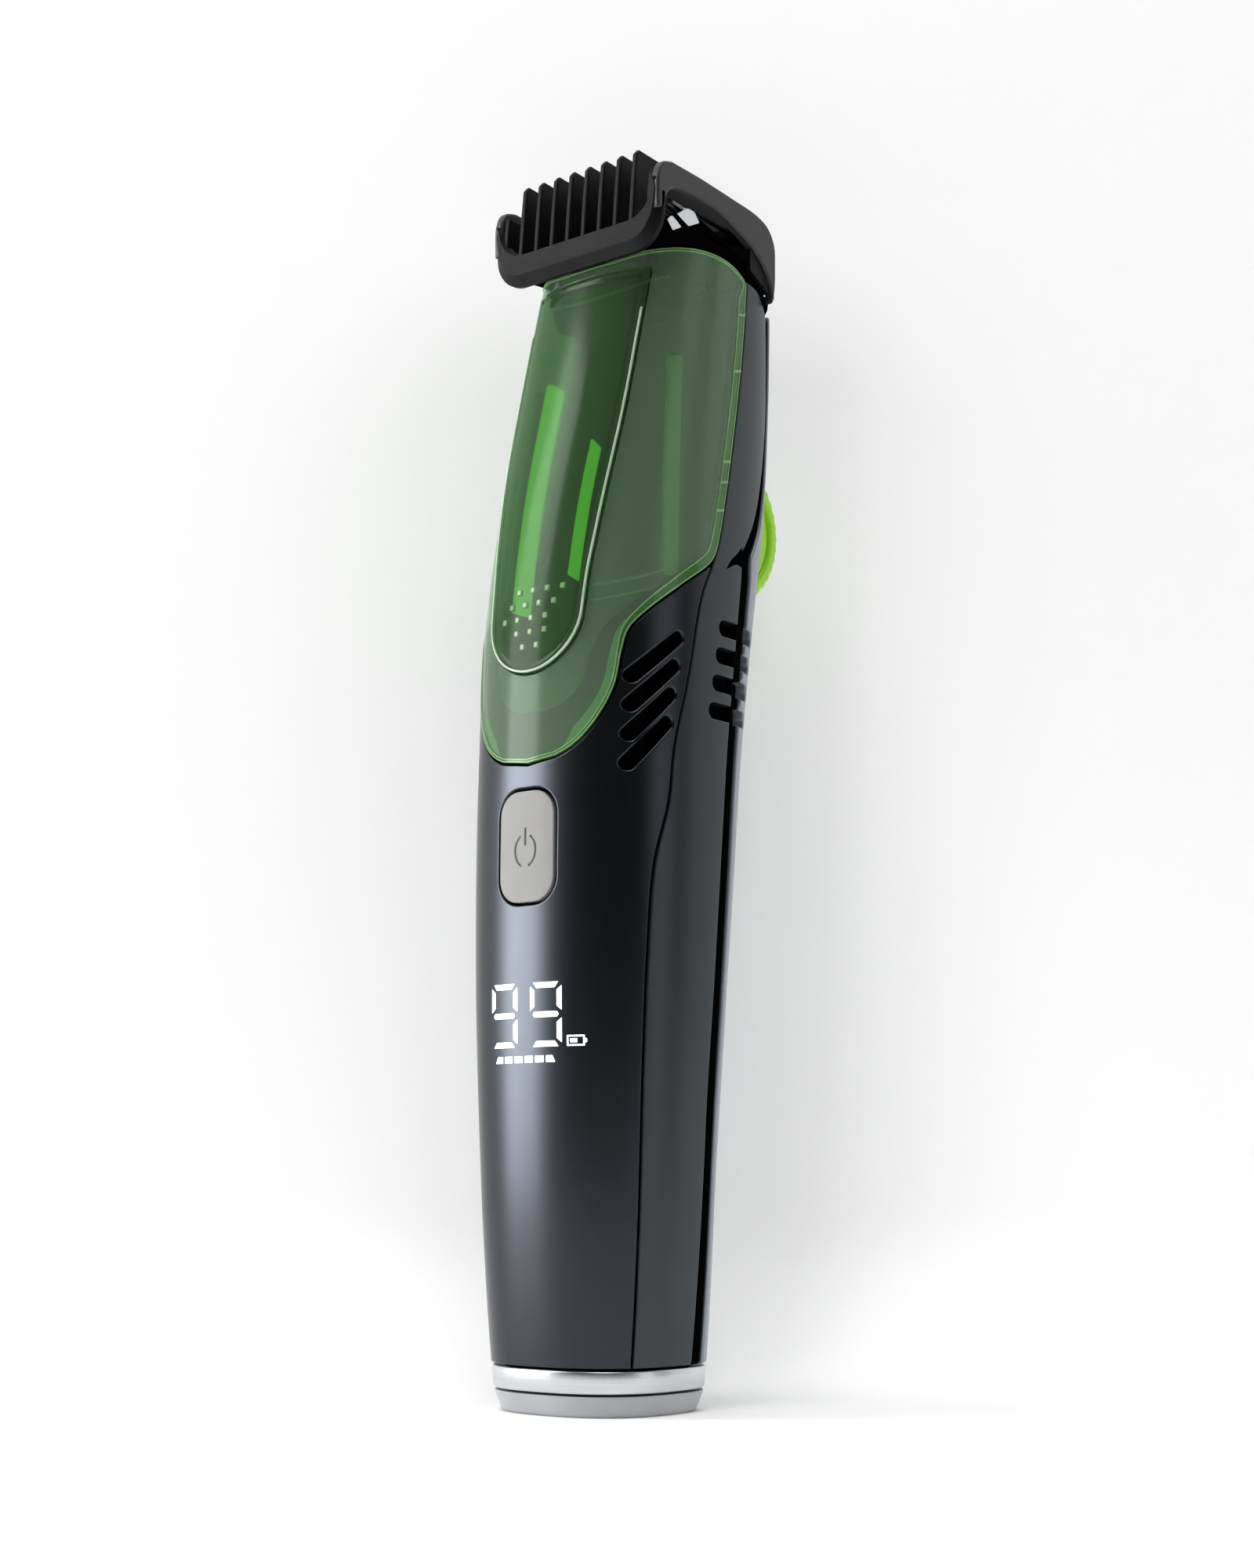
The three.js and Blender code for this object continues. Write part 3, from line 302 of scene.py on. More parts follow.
def round_rect(width, height, corner, x=0.0, z=0.0, steps=8):
    """Rectangle with round corners about a middle point."""
    a, b = width / 2 - corner, height / 2 - corner
    return np.vstack([
        arc((x + a, z + b), corner, 0, 90, steps),
        arc((x - a, z + b), corner, 90, 180, steps),
        arc((x - a, z - b), corner, 180, 270, steps),
        arc((x + a, z - b), corner, 270, 360, steps),
    ])


def stadium(start, end, radius, steps=8):
    """Slot with round ends between two points."""
    angle = math.degrees(math.atan2(end[1] - start[1], end[0] - start[0]))
    return np.vstack([
        arc(end, radius, angle - 90, angle + 90, steps),
        arc(start, radius, angle + 90, angle + 270, steps),
    ])


def rounded(corners, radius, steps=5):
    """Polygon with each corner rounded; radius is one number or one for each corner."""
    corners = np.array(corners, float)
    radii = np.broadcast_to(radius, len(corners))
    found = []
    for i, corner in enumerate(corners):
        to_last, to_next = corners[i - 1] - corner, corners[(i + 1) % len(corners)] - corner
        reach = min(radii[i], 0.49 * np.linalg.norm(to_last), 0.49 * np.linalg.norm(to_next))
        a = corner + to_last / np.linalg.norm(to_last) * reach
        b = corner + to_next / np.linalg.norm(to_next) * reach
        t = np.linspace(0, 1, steps + 1)[:, None]
        found.append((1 - t) ** 2 * a + 2 * t * (1 - t) * corner + t**2 * b)
    return np.vstack(found)


def on_front_skin(points):
    """Front-view points (x, z) as (u, z) on the skin."""
    return np.array([(u_of_x(x, z), z) for x, z in points])


def to_skin(points, shift=0.0):
    """Side-view points as (u, z) on the right of the skin, moved round it by a shift."""
    return np.array([(u_of_y(y, z) + shift, z) for y, z in points])


def widened(points, distance):
    """An open line moved to its left."""
    along = np.gradient(points, axis=0)
    left = np.stack([-along[:, 1], along[:, 0]], 1)
    return points + left / np.linalg.norm(left, axis=1, keepdims=True) * distance


def mirrored(points):
    """The line's mirror image, run the other way."""
    return (points * [-1, 1])[::-1]


def area(loop):
    """Area inside a loop, positive where it runs counterclockwise."""
    x, y = loop.T
    return 0.5 * float(np.sum(x * np.roll(y, -1) - np.roll(x, -1) * y))


def resampled(loop, step):
    """A loop without doubled points, and with long runs split."""
    keep = np.linalg.norm(loop - np.roll(loop, 1, 0), axis=1) > 0.02
    return densify([tuple(p) for p in loop[keep]], step)


def is_inside(points, loops):
    """Which points lie inside an odd number of the loops."""
    inside = np.zeros(len(points), bool)
    for loop in loops:
        for (x0, y0), (x1, y1) in zip(loop, np.roll(loop, -1, 0)):
            if y0 == y1:
                continue
            crossing = (points[:, 1] > y0) != (points[:, 1] > y1)
            inside ^= crossing & (points[:, 0] < (x1 - x0) * (points[:, 1] - y0) / (y1 - y0) + x0)
    return inside


def moved_in(loop, distance):
    """The loop moved to its left, where the material is, and its unit directions."""
    ahead = np.roll(loop, -1, 0) - loop
    ahead /= np.linalg.norm(ahead, axis=1, keepdims=True)
    behind = np.roll(ahead, 1, 0)
    left_ahead = np.stack([-ahead[:, 1], ahead[:, 0]], 1)
    left_behind = np.stack([-behind[:, 1], behind[:, 0]], 1)
    dot = np.sum(left_ahead * left_behind, 1, keepdims=True)
    miter = (left_ahead + left_behind) / np.maximum(1 + dot, 0.7)
    unit = miter / np.linalg.norm(miter, axis=1, keepdims=True)
    return loop + miter * distance, unit


# ---- meshes -----------------------------------------------------------------------------------
def make_mesh(name, points, faces, normals=None):
    mesh = bpy.data.meshes.new(name)
    mesh.from_pydata((np.asarray(points) * MM).tolist(), [], faces)
    mesh.polygons.foreach_set("use_smooth", np.ones(len(mesh.polygons), bool))
    mesh.update()
    if normals is not None:
        mesh.normals_split_custom_set_from_vertices(np.asarray(normals).tolist())
    obj = bpy.data.objects.new(name, mesh)
    bpy.context.scene.collection.objects.link(obj)
    return obj


SUPPORT = 0.12                  # width of the flat border that holds a rim's shading
NUDGE = 0.05                    # step outwards that gives a wall's direction
ROW_RATIO = 0.866               # of the rows of a triangular grid to its spacing
CLEARANCE = 0.6                 # of the grid from the rim, in spacings
ROUND_STEPS = np.radians((0, 22.5, 45, 67.5, 90))


def round_profile(radius):
    """Offset from the rim, depth below the face and tilt of the normal, from the wall to the face."""
    return [(radius * (1 - math.cos(a)), radius * (1 - math.sin(a)), a) for a in ROUND_STEPS]


def chamfer_profile(width, depth):
    """A flat bevel with softened edges."""
    soften = 0.12
    angle = math.atan2(width, depth)
    return [
        (0, depth + soften, 0),
        (0, depth, angle * 0.5),
        (soften * 0.5, depth - soften, angle),
        (width - soften, soften * 0.5, angle),
        (width, 0, (angle + math.pi / 2) / 2),
        (width + soften, 0, math.pi / 2),
    ]


def rim_rings(edge, back_edge, depth):
    """Rings of a rolled rim, from under the plate to its face: offset, depth and tilt of the normal."""
    top = edge if isinstance(edge, list) else round_profile(edge)
    under = round_profile(back_edge)
    inner = max(top[-1][0], under[-1][0]) + SUPPORT
    rings = [(inner, depth, -math.pi / 2)]
    rings += [(offset, depth - inset, -tilt) for offset, inset, tilt in reversed(under)]
    return rings + top + [(inner, 0, math.pi / 2)]


def field(rings, spacing):
    """Triangulated field inside the rings: points, the inputs each comes from, and triangles."""
    outer = np.vstack(rings)
    low, high = outer.min(0), outer.max(0)
    us = np.arange(low[0], high[0], spacing)
    vs = np.arange(low[1], high[1], spacing * ROW_RATIO)
    grid = [(u + (spacing / 2 if i % 2 else 0), v) for i, v in enumerate(vs) for u in us]
    grid = np.array(grid).reshape(-1, 2)
    grid = grid[is_inside(grid, rings)]
    least = (CLEARANCE * spacing) ** 2
    clear = [np.min(np.sum((outer - point) ** 2, 1)) > least for point in grid]
    flat = np.vstack([outer, grid[np.array(clear, bool)]])
    edges = []
    start = 0
    for ring in rings:
        n = len(ring)
        edges += [(start + i, start + (i + 1) % n) for i in range(n)]
        start += n
    verts, _, tris, sources, _, _ = delaunay_2d_cdt([Vector(p) for p in flat], edges, [], 1, 1e-5, True)
    verts = np.array([tuple(v) for v in verts])
    middles = np.array([verts[list(t)].mean(0) for t in tris])
    return verts, sources, [t for t, keep in zip(tris, is_inside(middles, rings)) if keep]


def ring_faces(low, high, n):
    """Quads between two rings of n points each, given by their first points."""
    return [(low + i, low + (i + 1) % n, high + (i + 1) % n, high + i) for i in range(n)]


def plate(
    loops, chart, depth, edge=0.25, back_edge=0.05, lift=0.0, spacing=1.2, step=0.8, hole_edge=None,
    reach=None,
):
    """Closed solid between a charted face and the same face a depth below it, with rolled rims.

    loops are an outline and holes in it. edge is the rim's radius, or a profile, and hole_edge is
    the same for the holes where they differ. lift raises the face above the chart. reach gives a
    factor for the rim's width at each place, where it varies. Gives points, faces and normals.
    """
    points, normals, faces, field_rings = [], [], [], []
    top_of, under_of = [], []
    count = 0
    for k, loop in enumerate(loops):
        loop = resampled(np.asarray(loop, float), step)
        if (area(loop) > 0) != (k == 0):
            loop = loop[::-1]
        n = len(loop)
        rings = rim_rings(hole_edge if k and hole_edge else edge, back_edge, depth)
        factor = reach(loop)[:, None] if reach else 1.0
        for r, (offset, inset, tilt) in enumerate(rings):
            uv, inward = moved_in(loop, offset * factor)
            face, normal = chart(uv)
            nudged, _ = chart(uv - inward * NUDGE)
            out = nudged - face
            out -= np.sum(out * normal, 1, keepdims=True) * normal
            out /= np.linalg.norm(out, axis=1, keepdims=True)
            points.append(face + normal * (lift - inset))
            normals.append(out * math.cos(tilt) + normal * math.sin(tilt))
            if r:
                faces += ring_faces(count + (r - 1) * n, count + r * n, n)
        field_rings.append(moved_in(loop, rings[-1][0] * factor)[0])
        under_of += range(count, count + n)
        count += len(rings) * n
        top_of += range(count - n, count)

    # the rings' own vertices serve the field on both faces; the others are added
    verts, sources, tris = field(field_rings, spacing)
    extra = []
    vertex_top, vertex_under = [], []
    for vert, origins in zip(verts, sources):
        source = next((o for o in origins if o < len(top_of)), None)
        if source is None:
            vertex_top.append(count + 2 * len(extra))
            vertex_under.append(vertex_top[-1] + 1)
            extra.append(vert)
        else:
            vertex_top.append(top_of[source])
            vertex_under.append(under_of[source])
    if extra:
        face, normal = chart(np.array(extra))
        points.append(np.stack([face + normal * lift, face + normal * (lift - depth)], 1).reshape(-1, 3))
        normals.append(np.stack([normal, -normal], 1).reshape(-1, 3))
    for t in tris:
        faces.append(tuple(vertex_top[v] for v in t))
        faces.append(tuple(vertex_under[v] for v in reversed(t)))
    return np.vstack(points), faces, np.vstack(normals)


def stacked(profile):
    """Closed band stacked from sections of the body, each given by its height and inset."""
    steps = 192
    points, faces = [], []
    for k, (z, inset) in enumerate(profile):
        points.append(np.column_stack([section_loop(z, inset, steps), np.full(steps, z)]))
        faces += ring_faces(k * steps, (k + 1) % len(profile) * steps, steps)
    return np.vstack(points), faces, None


def combine(parts):
    """Several solids as one mesh."""
    points, faces, normals = [], [], []
    count = 0
    for p, f, n in parts:
        points.append(p)
        faces += [tuple(i + count for i in face) for face in f]
        normals.append(n)
        count += len(p)
    return np.vstack(points), faces, np.vstack(normals)


def flipped(part):
    """The mirror image across the middle plane."""
    points, faces, normals = part
    return points * [-1, 1, 1], [tuple(reversed(f)) for f in faces], normals * [-1, 1, 1]


def both_sides(*parts):
    """Parts of the right side with their mirror images, as one mesh."""
    return combine([solid for part in parts for solid in (part, flipped(part))])


def piece(name, part, body, slot, *replaced, finish=None):
    """One visual piece. finish names its material where that isn't the slot's own."""
    obj = make_mesh(name, *part)
    obj.data.materials.append(MATERIALS[finish or slot])
    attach(obj, body)
    if replaced:
        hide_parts(*replaced)
    return obj


# ---- materials --------------------------------------------------------------------------------
def rgb(code):
    """Linear colour of a hex code."""
    parts = [int(code[i:i + 2], 16) / 255 for i in (0, 2, 4)]
    return [p / 12.92 if p <= 0.04045 else ((p + 0.055) / 1.055) ** 2.4 for p in parts] + [1.0]


class Nodes:
    """Short forms for building a material."""

    def __init__(self, name):
        self.material = bpy.data.materials.new(name)
        self.material.use_nodes = True
        self.tree = self.material.node_tree
        self.tree.nodes.clear()
        self.output = self.add("ShaderNodeOutputMaterial")
        self.coords = self.add("ShaderNodeTexCoord").outputs["Object"]

    def set(self, socket, value):
        """Links a socket into an input, or gives the input a value."""
        if isinstance(value, bpy.types.NodeSocket):
            self.tree.links.new(value, socket)
        else:
            socket.default_value = value

    def add(self, kind, **inputs):
        """A node with inputs set by name; an underscore stands for a space."""
        node = self.tree.nodes.new(kind)
        for name, value in inputs.items():
            self.set(node.inputs[name.replace("_", " ")], value)
        return node

    def noise(self, scale, detail, coords=None):
        vector = self.coords if coords is None else coords
        return self.add("ShaderNodeTexNoise", Vector=vector, Scale=scale, Detail=detail).outputs["Fac"]

    def spread(self, value, low, high):
        """Noise stretched from its usual range to low and high."""
        limits = dict(From_Min=0.3, From_Max=0.7, To_Min=low, To_Max=high)
        return self.add("ShaderNodeMapRange", Value=value, **limits).outputs["Result"]

    def math(self, operation, a, b):
        node = self.add("ShaderNodeMath")
        node.operation = operation
        self.set(node.inputs[0], a)
        self.set(node.inputs[1], b)
        return node.outputs["Value"]

    def mix(self, factor, a, b):
        """Mix of two colours."""
        node = self.add("ShaderNodeMix")
        node.data_type = "RGBA"
        for index, value in ((0, factor), (6, a), (7, b)):
            self.set(node.inputs[index], value)
        return node.outputs[2]

    def mix_shaders(self, factor, a, b):
        node = self.add("ShaderNodeMixShader", Fac=factor)
        self.set(node.inputs[1], a.outputs[0])
        self.set(node.inputs[2], b.outputs[0])
        return node

    def bump(self, height, distance, strength=1.0):
        node = self.add("ShaderNodeBump", Height=height, Distance=distance, Strength=strength)
        return node.outputs["Normal"]

    def finish(self, shader):
        self.tree.links.new(shader.outputs[0], self.output.inputs["Surface"])
        return self.material


def shade(colour, factor):
    """A lighter or darker form of a linear colour, as a node's value."""
    return [*np.minimum(np.array(colour[:3]) * factor, 1), 1]


def plastic(
    name, colour, roughness, metallic=0.0, mottle=0.06, grain=0.0, grain_scale=2600, coat=0.0,
    specular=0.5, unevenness=0.07,
):
    """Moulded or painted surface: slightly uneven colour and gloss, with a fine grain."""
    n = Nodes(name)
    base = rgb(colour)
    cloud = n.spread(n.noise(130, 4), 0, 1)
    bsdf = n.add(
        "ShaderNodeBsdfPrincipled",
        Base_Color=n.mix(cloud, shade(base, 1 - mottle), shade(base, 1 + mottle)),
        Roughness=n.spread(n.noise(420, 3), roughness * (1 - unevenness), roughness * (1 + unevenness)),
        Metallic=metallic,
        Specular_IOR_Level=specular,
        Coat_Weight=coat,
        Coat_Roughness=0.12,
    )
    if grain:
        n.set(bsdf.inputs["Normal"], n.bump(n.noise(grain_scale, 2), grain))
    return n.finish(bsdf)


def brushed(name, colour, roughness, stretch=(60, 60, 5200)):
    """Metal with fine parallel lines."""
    n = Nodes(name)
    base = rgb(colour)
    mapping = n.add("ShaderNodeMapping", Vector=n.coords, Scale=stretch)
    lines = n.noise(1, 3, mapping.outputs["Vector"])
    return n.finish(n.add(
        "ShaderNodeBsdfPrincipled",
        Base_Color=n.mix(n.spread(lines, 0, 1), shade(base, 0.93), shade(base, 1.05)),
        Roughness=n.spread(lines, roughness * 0.85, roughness * 1.15),
        Metallic=1.0,
        Normal=n.bump(lines, 0.00001, 0.6),
    ))


def clear_plastic(name, tint, haze_colour, haze, roughness, index):
    """Tinted transparent plastic: lets tinted light through, with a little haze and a glossy face."""
    n = Nodes(name)
    milk = rgb(haze_colour)
    cloud = n.spread(n.noise(90, 3), 0, 1)
    through = n.add("ShaderNodeBsdfTransparent", Color=rgb(tint))
    milky = n.add("ShaderNodeBsdfDiffuse", Color=n.mix(cloud, shade(milk, 0.97), milk))
    gloss = n.add("ShaderNodeBsdfGlossy", Color=[0.9, 1, 0.9, 1], Roughness=roughness)
    facing = n.add("ShaderNodeFresnel", IOR=index).outputs["Fac"]
    outside = n.math("SUBTRACT", 1.0, n.add("ShaderNodeNewGeometry").outputs["Backfacing"])
    body = n.mix_shaders(haze, through, milky)
    return n.finish(n.mix_shaders(n.math("MULTIPLY", facing, outside), body, gloss))


def glowing(name, colour, strength):
    """A surface that gives off light: the display's own glow, and painted light on the ribs."""
    n = Nodes(name)
    level = n.spread(n.noise(900, 1), strength * 0.94, strength * 1.06)
    return n.finish(n.add("ShaderNodeEmission", Color=rgb(colour), Strength=level))


# a material has the name of its slot, or else of the piece that it is made for
PLASTICS = {
    "shell_blue_grey": dict(
        colour="393c41", roughness=0.3, metallic=1, mottle=0.015, grain=1.2e-6, unevenness=0.015,
    ),
    "panel_grey": dict(
        colour="3d4245", roughness=0.34, metallic=0.8, mottle=0.03, grain=3e-6, unevenness=0.03,
    ),
    "back_silver": dict(
        colour="8d939c", roughness=0.34, metallic=0.6, mottle=0.02, grain=3e-6, unevenness=0.03,
    ),
    "trim_black": dict(colour="060607", roughness=0.3, mottle=0.1, specular=0),
    "comb_black": dict(colour="0e0f10", roughness=0.5, mottle=0.08, grain=8e-6, specular=0.16),
    # painted light: a lighter copy of comb_black for the side walls, standing for the light that falls on
    # them from the right
    "comb_wall_black": dict(colour="303133", roughness=0.42, mottle=0.05, grain=6e-6),
    "inner_plastic": dict(
        colour="08090a", roughness=0.7, mottle=0.1, grain=2e-5, grain_scale=1500, specular=0,
    ),
    # lime of the wheels, partly their own colour and partly painted light: made lighter for the light that
    # falls on them from the right
    "wheel_lime": dict(colour="a6ea1a", roughness=0.32, mottle=0.04, coat=0.3),
    "button_grey": dict(colour="a3a2a0", roughness=0.5, mottle=0.02, grain=1e-5),
    "foot_grey": dict(colour="b6b8bb", roughness=0.5, grain=1e-5),
    "bronze": dict(colour="a5814d", roughness=0.35, metallic=1),
    "board_green": dict(colour="17502f", roughness=0.55, mottle=0.2),
    "cell_sleeve": dict(colour="2f6fb3", roughness=0.4, coat=0.3),
    "seal_rubber": dict(colour="16161a", roughness=0.8, grain=3e-5, grain_scale=1200),
}
METALS = {
    "ring_satin": dict(colour="cfd1d3", roughness=0.3),
    "blade_steel": dict(colour="d8dade", roughness=0.22, stretch=(60, 5200, 60)),
    "steel": dict(colour="b9bcc0", roughness=0.3, stretch=(900, 900, 900)),
}
CLEARS = {
    "chamber_green": dict(tint="b2d2ac", haze_colour="a6c8a3", haze=0.26, roughness=0.16, index=1.3),
    "chamber_floor_green": dict(tint="a6c9a0", haze_colour="9cc298", haze=0.85, roughness=0.6, index=1.1),
    "thumb_green": dict(tint="a4cc9d", haze_colour="6f9667", haze=0.2, roughness=0.14, index=1.2),
    "chamber_green_edge": dict(tint="a6d49a", haze_colour="6b9c5f", haze=0.42, roughness=0.12, index=1.4),
    # painted highlights: a lighter, hazier green that stands for lit edges on the bead's lines, the
    # notches, the inner ribs and the grip squares
    "bright_green_edge": dict(tint="c8ecb8", haze_colour="a4d096", haze=0.6, roughness=0.1, index=1.5),
    # painted highlight: a near-white green for the thumb cover's line, standing for its gloss
    "pale_green_edge": dict(tint="e4f6de", haze_colour="dcf0d6", haze=0.85, roughness=0.1, index=1.5),
}
GLOWS = {
    # painted light: the ribs glow green though nothing in them gives light
    "lit_green_rib": dict(colour="84c452", strength=1.9),
    "display_glow": dict(colour="f4f8ff", strength=3.0),
}
MATERIALS = {
    name: make(name, **looks)
    for make, table in ((plastic, PLASTICS), (brushed, METALS), (clear_plastic, CLEARS), (glowing, GLOWS))
    for name, looks in table.items()
}

# ---- casing panels ----------------------------------------------------------------------------
EDGE_CURVE = smooth(CHAMBER_EDGE, 0.7)
SEAM_CURVE = smooth(FRONT_SEAM, 0.7)
TOP_CURVE = smooth(CHAMBER_TOP, 0.7)


def on_front(curve):
    """The part of a side-view curve that lies behind the front of the body."""
    front = section_at(curve[:, 1])[:, 2]
    return curve[curve[:, 0] > front + 0.02]


def tip_height(curve):
    """Height at which a side-view curve meets the middle of the front."""
    front = section_at(curve[:, 1])[:, 2]
    ahead = curve[:, 0] - front
    order = np.argsort(ahead)
    return float(np.interp(0, ahead[order], curve[order, 1]))


EDGE_TIP = tip_height(EDGE_CURVE[EDGE_CURVE[:, 1] < 110])
EDGE_ON_SKIN = np.vstack([[(0, EDGE_TIP)], to_skin(on_front(EDGE_CURVE))])


VENT_COUNT, VENT_PITCH = 4, 4.5
FRONT_VENT_RADIUS = 1.0


def seam_beside(shift):
    """The front seam moved round the skin, from the base up."""
    seam = to_skin(SEAM_CURVE, shift)
    foot = (u_of_y(SEAM_CURVE[0][0], BASE_TOP) + shift, BASE_TOP)
    return np.vstack([[foot], seam[seam[:, 1] > BASE_TOP + 0.3]])


def front_shell():
    """Front casing with the button hole and the slanted vents."""
    seam = seam_beside(-GAP / 2)
    edge = widened(EDGE_ON_SKIN, -GAP)
    edge[0, 0] = 0
    # the seam ends where it comes close to the chamber's edge
    room = np.array([u - np.interp(z, edge[:, 1], edge[:, 0]) for u, z in seam])
    seam = seam[(seam[:, 1] < 112) | (room > 0.35)]
    edge = edge[edge[:, 1] < seam[-1, 1] + 0.1]
    right = np.vstack([seam, edge[::-1]])
    outline = np.vstack([right, mirrored(right[:-1])])
    wide, high, corner = BUTTON_WIDTH + 0.7, BUTTON_HEIGHT + 0.7, BUTTON_CORNER + 0.35
    holes = [round_rect(wide, high, corner, 0, BUTTON_Z)]
    for i in range(VENT_COUNT):
        low = (-11.2 - i * 0.25, 109.6 - i * VENT_PITCH)
        top = (-3.7 - i * 0.8, 116.2 - i * VENT_PITCH)
        slot = to_skin(stadium(low, top, FRONT_VENT_RADIUS))
        holes += [slot, mirrored(slot)]
    return plate([outline, *holes], front_chart, SHELL, edge=0.28, hole_edge=0.45)


# front edge of the dark strip, below and above its hook
STRIP_RUNS = [smooth(run) for run in (STRIP_LOWER, STRIP_UPPER)]
STRIP_RUNS[0] = STRIP_RUNS[0][STRIP_RUNS[0][:, 1] > BASE_TOP + 0.4]
STRIP_LINE = np.vstack(STRIP_RUNS)
STRIP_FOOT = u_of_y(STRIP_LOWER[0][0] + 0.3, BASE_TOP)
VENTS = [(7.2 - 0.95 * i, 119.5 - VENT_PITCH * i) for i in range(VENT_COUNT)]
VENT_RADIUS = 1.3
REAR_VENT_REACH = 2.6           # how far the vents run into the back panel


def notched(edge, inward):
    """An upward (u, z) line with round-ended slots let into it.

    inward gives the (u, z) of a slot's centre for each vent.
    """
    for y, z in reversed(VENTS):
        centre = inward(y, z)
        below = edge[edge[:, 1] < z - VENT_RADIUS - 0.05]
        above = edge[edge[:, 1] > z + VENT_RADIUS + 0.05]
        low, high = z - VENT_RADIUS, z + VENT_RADIUS
        rim, rim_above = np.interp((low, high), edge[:, 1], edge[:, 0])
        end = arc(centre, VENT_RADIUS, -90 if centre[0] > rim else 270, 90, 10)
        edge = np.vstack([below, [(rim, low)], end, [(rim_above, high)], above])
    return edge


def side_panel():
    """Right side panel, between the front casing, the chamber and the dark strip."""
    lower, upper = STRIP_RUNS
    rear = notched(to_skin(lower, -GAP / 2), lambda y, z: (u_of_y(y, z), z))
    hook = smooth([(12.9, 130.4), (11.2, 130.6), (9.6, 129.9), HOOK_TIP], 0.5)
    back = smooth([HOOK_TIP, (9.8, 131), (11.6, 132.4), (12.9, 133.7)], 0.5)[1:]
    rear = np.vstack([
        [(STRIP_FOOT - GAP / 2, BASE_TOP)], rear,
        to_skin(hook, -GAP / 2), to_skin(back, -GAP / 2), to_skin(upper[1:], -GAP / 2),
    ])
    top = to_skin(smooth(PANEL_TOP))
    rear = rear[rear[:, 1] < top[0, 1] - 0.2]
    front = widened(EDGE_ON_SKIN, -GAP)[::-1]
    meet = FRONT_SEAM[-1][1]
    front = front[(front[:, 1] > meet + 0.8) & (front[:, 1] < top[-1, 1] - 0.3)]
    outline = np.vstack([rear, top, front, seam_beside(GAP / 2)[::-1]])
    return plate([outline], front_chart, SHELL, edge=0.28)


def strip():
    """Dark strip between the side and back panels, broken by the vents."""
    line = STRIP_LINE[STRIP_LINE[:, 1] < 175.6]
    cuts = [BASE_TOP + 0.2]
    for _, z in reversed(VENTS):
        cuts += [z - VENT_RADIUS - 0.1, z + VENT_RADIUS + 0.1]
    cuts += [175.4]
    parts = []
    for low, high in zip(cuts[::2], cuts[1::2]):
        inside = line[(line[:, 1] > low + 0.2) & (line[:, 1] < high - 0.2)]
        start, end = [(np.interp(z, line[:, 1], line[:, 0]), z) for z in (low, high)]
        run = to_skin(np.vstack([[start], inside, [end]]))
        loop = np.vstack([run + [STRIP_WIDTH - GAP / 2, 0], (run + [GAP / 2, 0])[::-1]])
        parts.append(plate([loop], front_chart, 1, edge=0.3, lift=-STRIP_DEPTH, spacing=0.9, step=0.9))
    hook = np.vstack([
        smooth([(13.4, 130.6), (11.2, 130.9), (9.8, 130.2), (8.6, 129.4)], 0.5),
        smooth([(9.8, 130.9), (11.6, 132.2), (13.4, 134)], 0.5),
    ])
    parts.append(plate([to_skin(hook)], front_chart, 1.0, edge=0.15, lift=-STRIP_DEPTH, spacing=0.9))
    return combine(parts)


def back_panel():
    """Back panel with the vents' rear ends in its edges and two openings for the wheels."""
    line = to_skin(STRIP_LINE, STRIP_WIDTH + GAP / 2)
    line = line[line[:, 1] < BODY_TOP - 0.3]
    rim = line.copy()
    line = notched(line, lambda y, z: (np.interp(z, rim[:, 1], rim[:, 0]) + REAR_VENT_REACH, z))
    bottom = STRIP_FOOT + STRIP_WIDTH + GAP / 2
    line = np.vstack([[(bottom, BASE_TOP)], line, [(line[-1, 0], BODY_TOP)]])
    left = np.stack([girth_at(line[:, 1]) - line[:, 0], line[:, 1]], 1)
    outline = np.vstack([left, mirrored(left)])
    width, height = WHEEL_TO - WHEEL_FROM + 2 * GAP, 2 * (WHEEL_RADIUS + GAP)
    centre = u_of_x((WHEEL_FROM + WHEEL_TO) / 2, WHEEL_Z, True)
    slots = [round_rect(width, height, 1.2, side * centre, WHEEL_Z, 5) for side in (-1, 1)]
    return plate([outline, *slots], back_chart, SHELL, edge=0.35, spacing=1.5)


front_casing = piece("front_casing", front_shell(), "housing", "shell_blue_grey", "front_shell")
right_panel = side_panel()
piece("side_casing_right", right_panel, "housing", "panel_grey", "side_panel_right")
piece("side_casing_left", flipped(right_panel), "housing", "panel_grey", "side_panel_left")
piece("back_casing", back_panel(), "housing", "back_silver", "back_panel")
piece("trim_strips", both_sides(strip()), "housing", "trim_black")

# ---- power button -------------------------------------------------------------------------------
def power_button():
    """Cap with the power sign let into its face, on a plain body."""
    middle = BUTTON_Z - 0.6
    holes = [stadium((0, middle + 0.9), (0, middle + 3.3), 0.14, 5)]
    for side in (-1, 1):
        turn = arc((0, 0), 1, 90 - side * 28, 90 - side * 160, 14)
        outer = turn * [2.2, 2.6]
        inner = outer * [0.88, 0.9]
        holes.append(np.vstack([outer, inner[::-1]]) + [0, middle])
    shape = round_rect(BUTTON_WIDTH, BUTTON_HEIGHT, BUTTON_CORNER, 0, BUTTON_Z)
    rim = [(0, 0.3, 0), (0.02, 0.12, 0.4), (0.06, 0.04, 1.0), (0.12, 0, 1.5)]
    face = plate([shape, *holes], front_chart, 0.3, edge=rim, lift=0.18, spacing=0.9, step=0.35)
    return combine([face, plate([shape], front_chart, 1.2, edge=0.05, lift=-0.1)])


piece("button_cap", power_button(), "power_button", "button_grey", "power_button")

# ---- display: two seven-part digits, a row of bars and a small battery sign ------------------------
DIGIT_WIDTH, DIGIT_HEIGHT, STROKE = 5.8, 9.6, 0.85
DIGIT_LEFT = (-7.4, 1.0)
DIGIT_FOOT = 53.9
LIT = "abcdfg"                  # parts of a nine


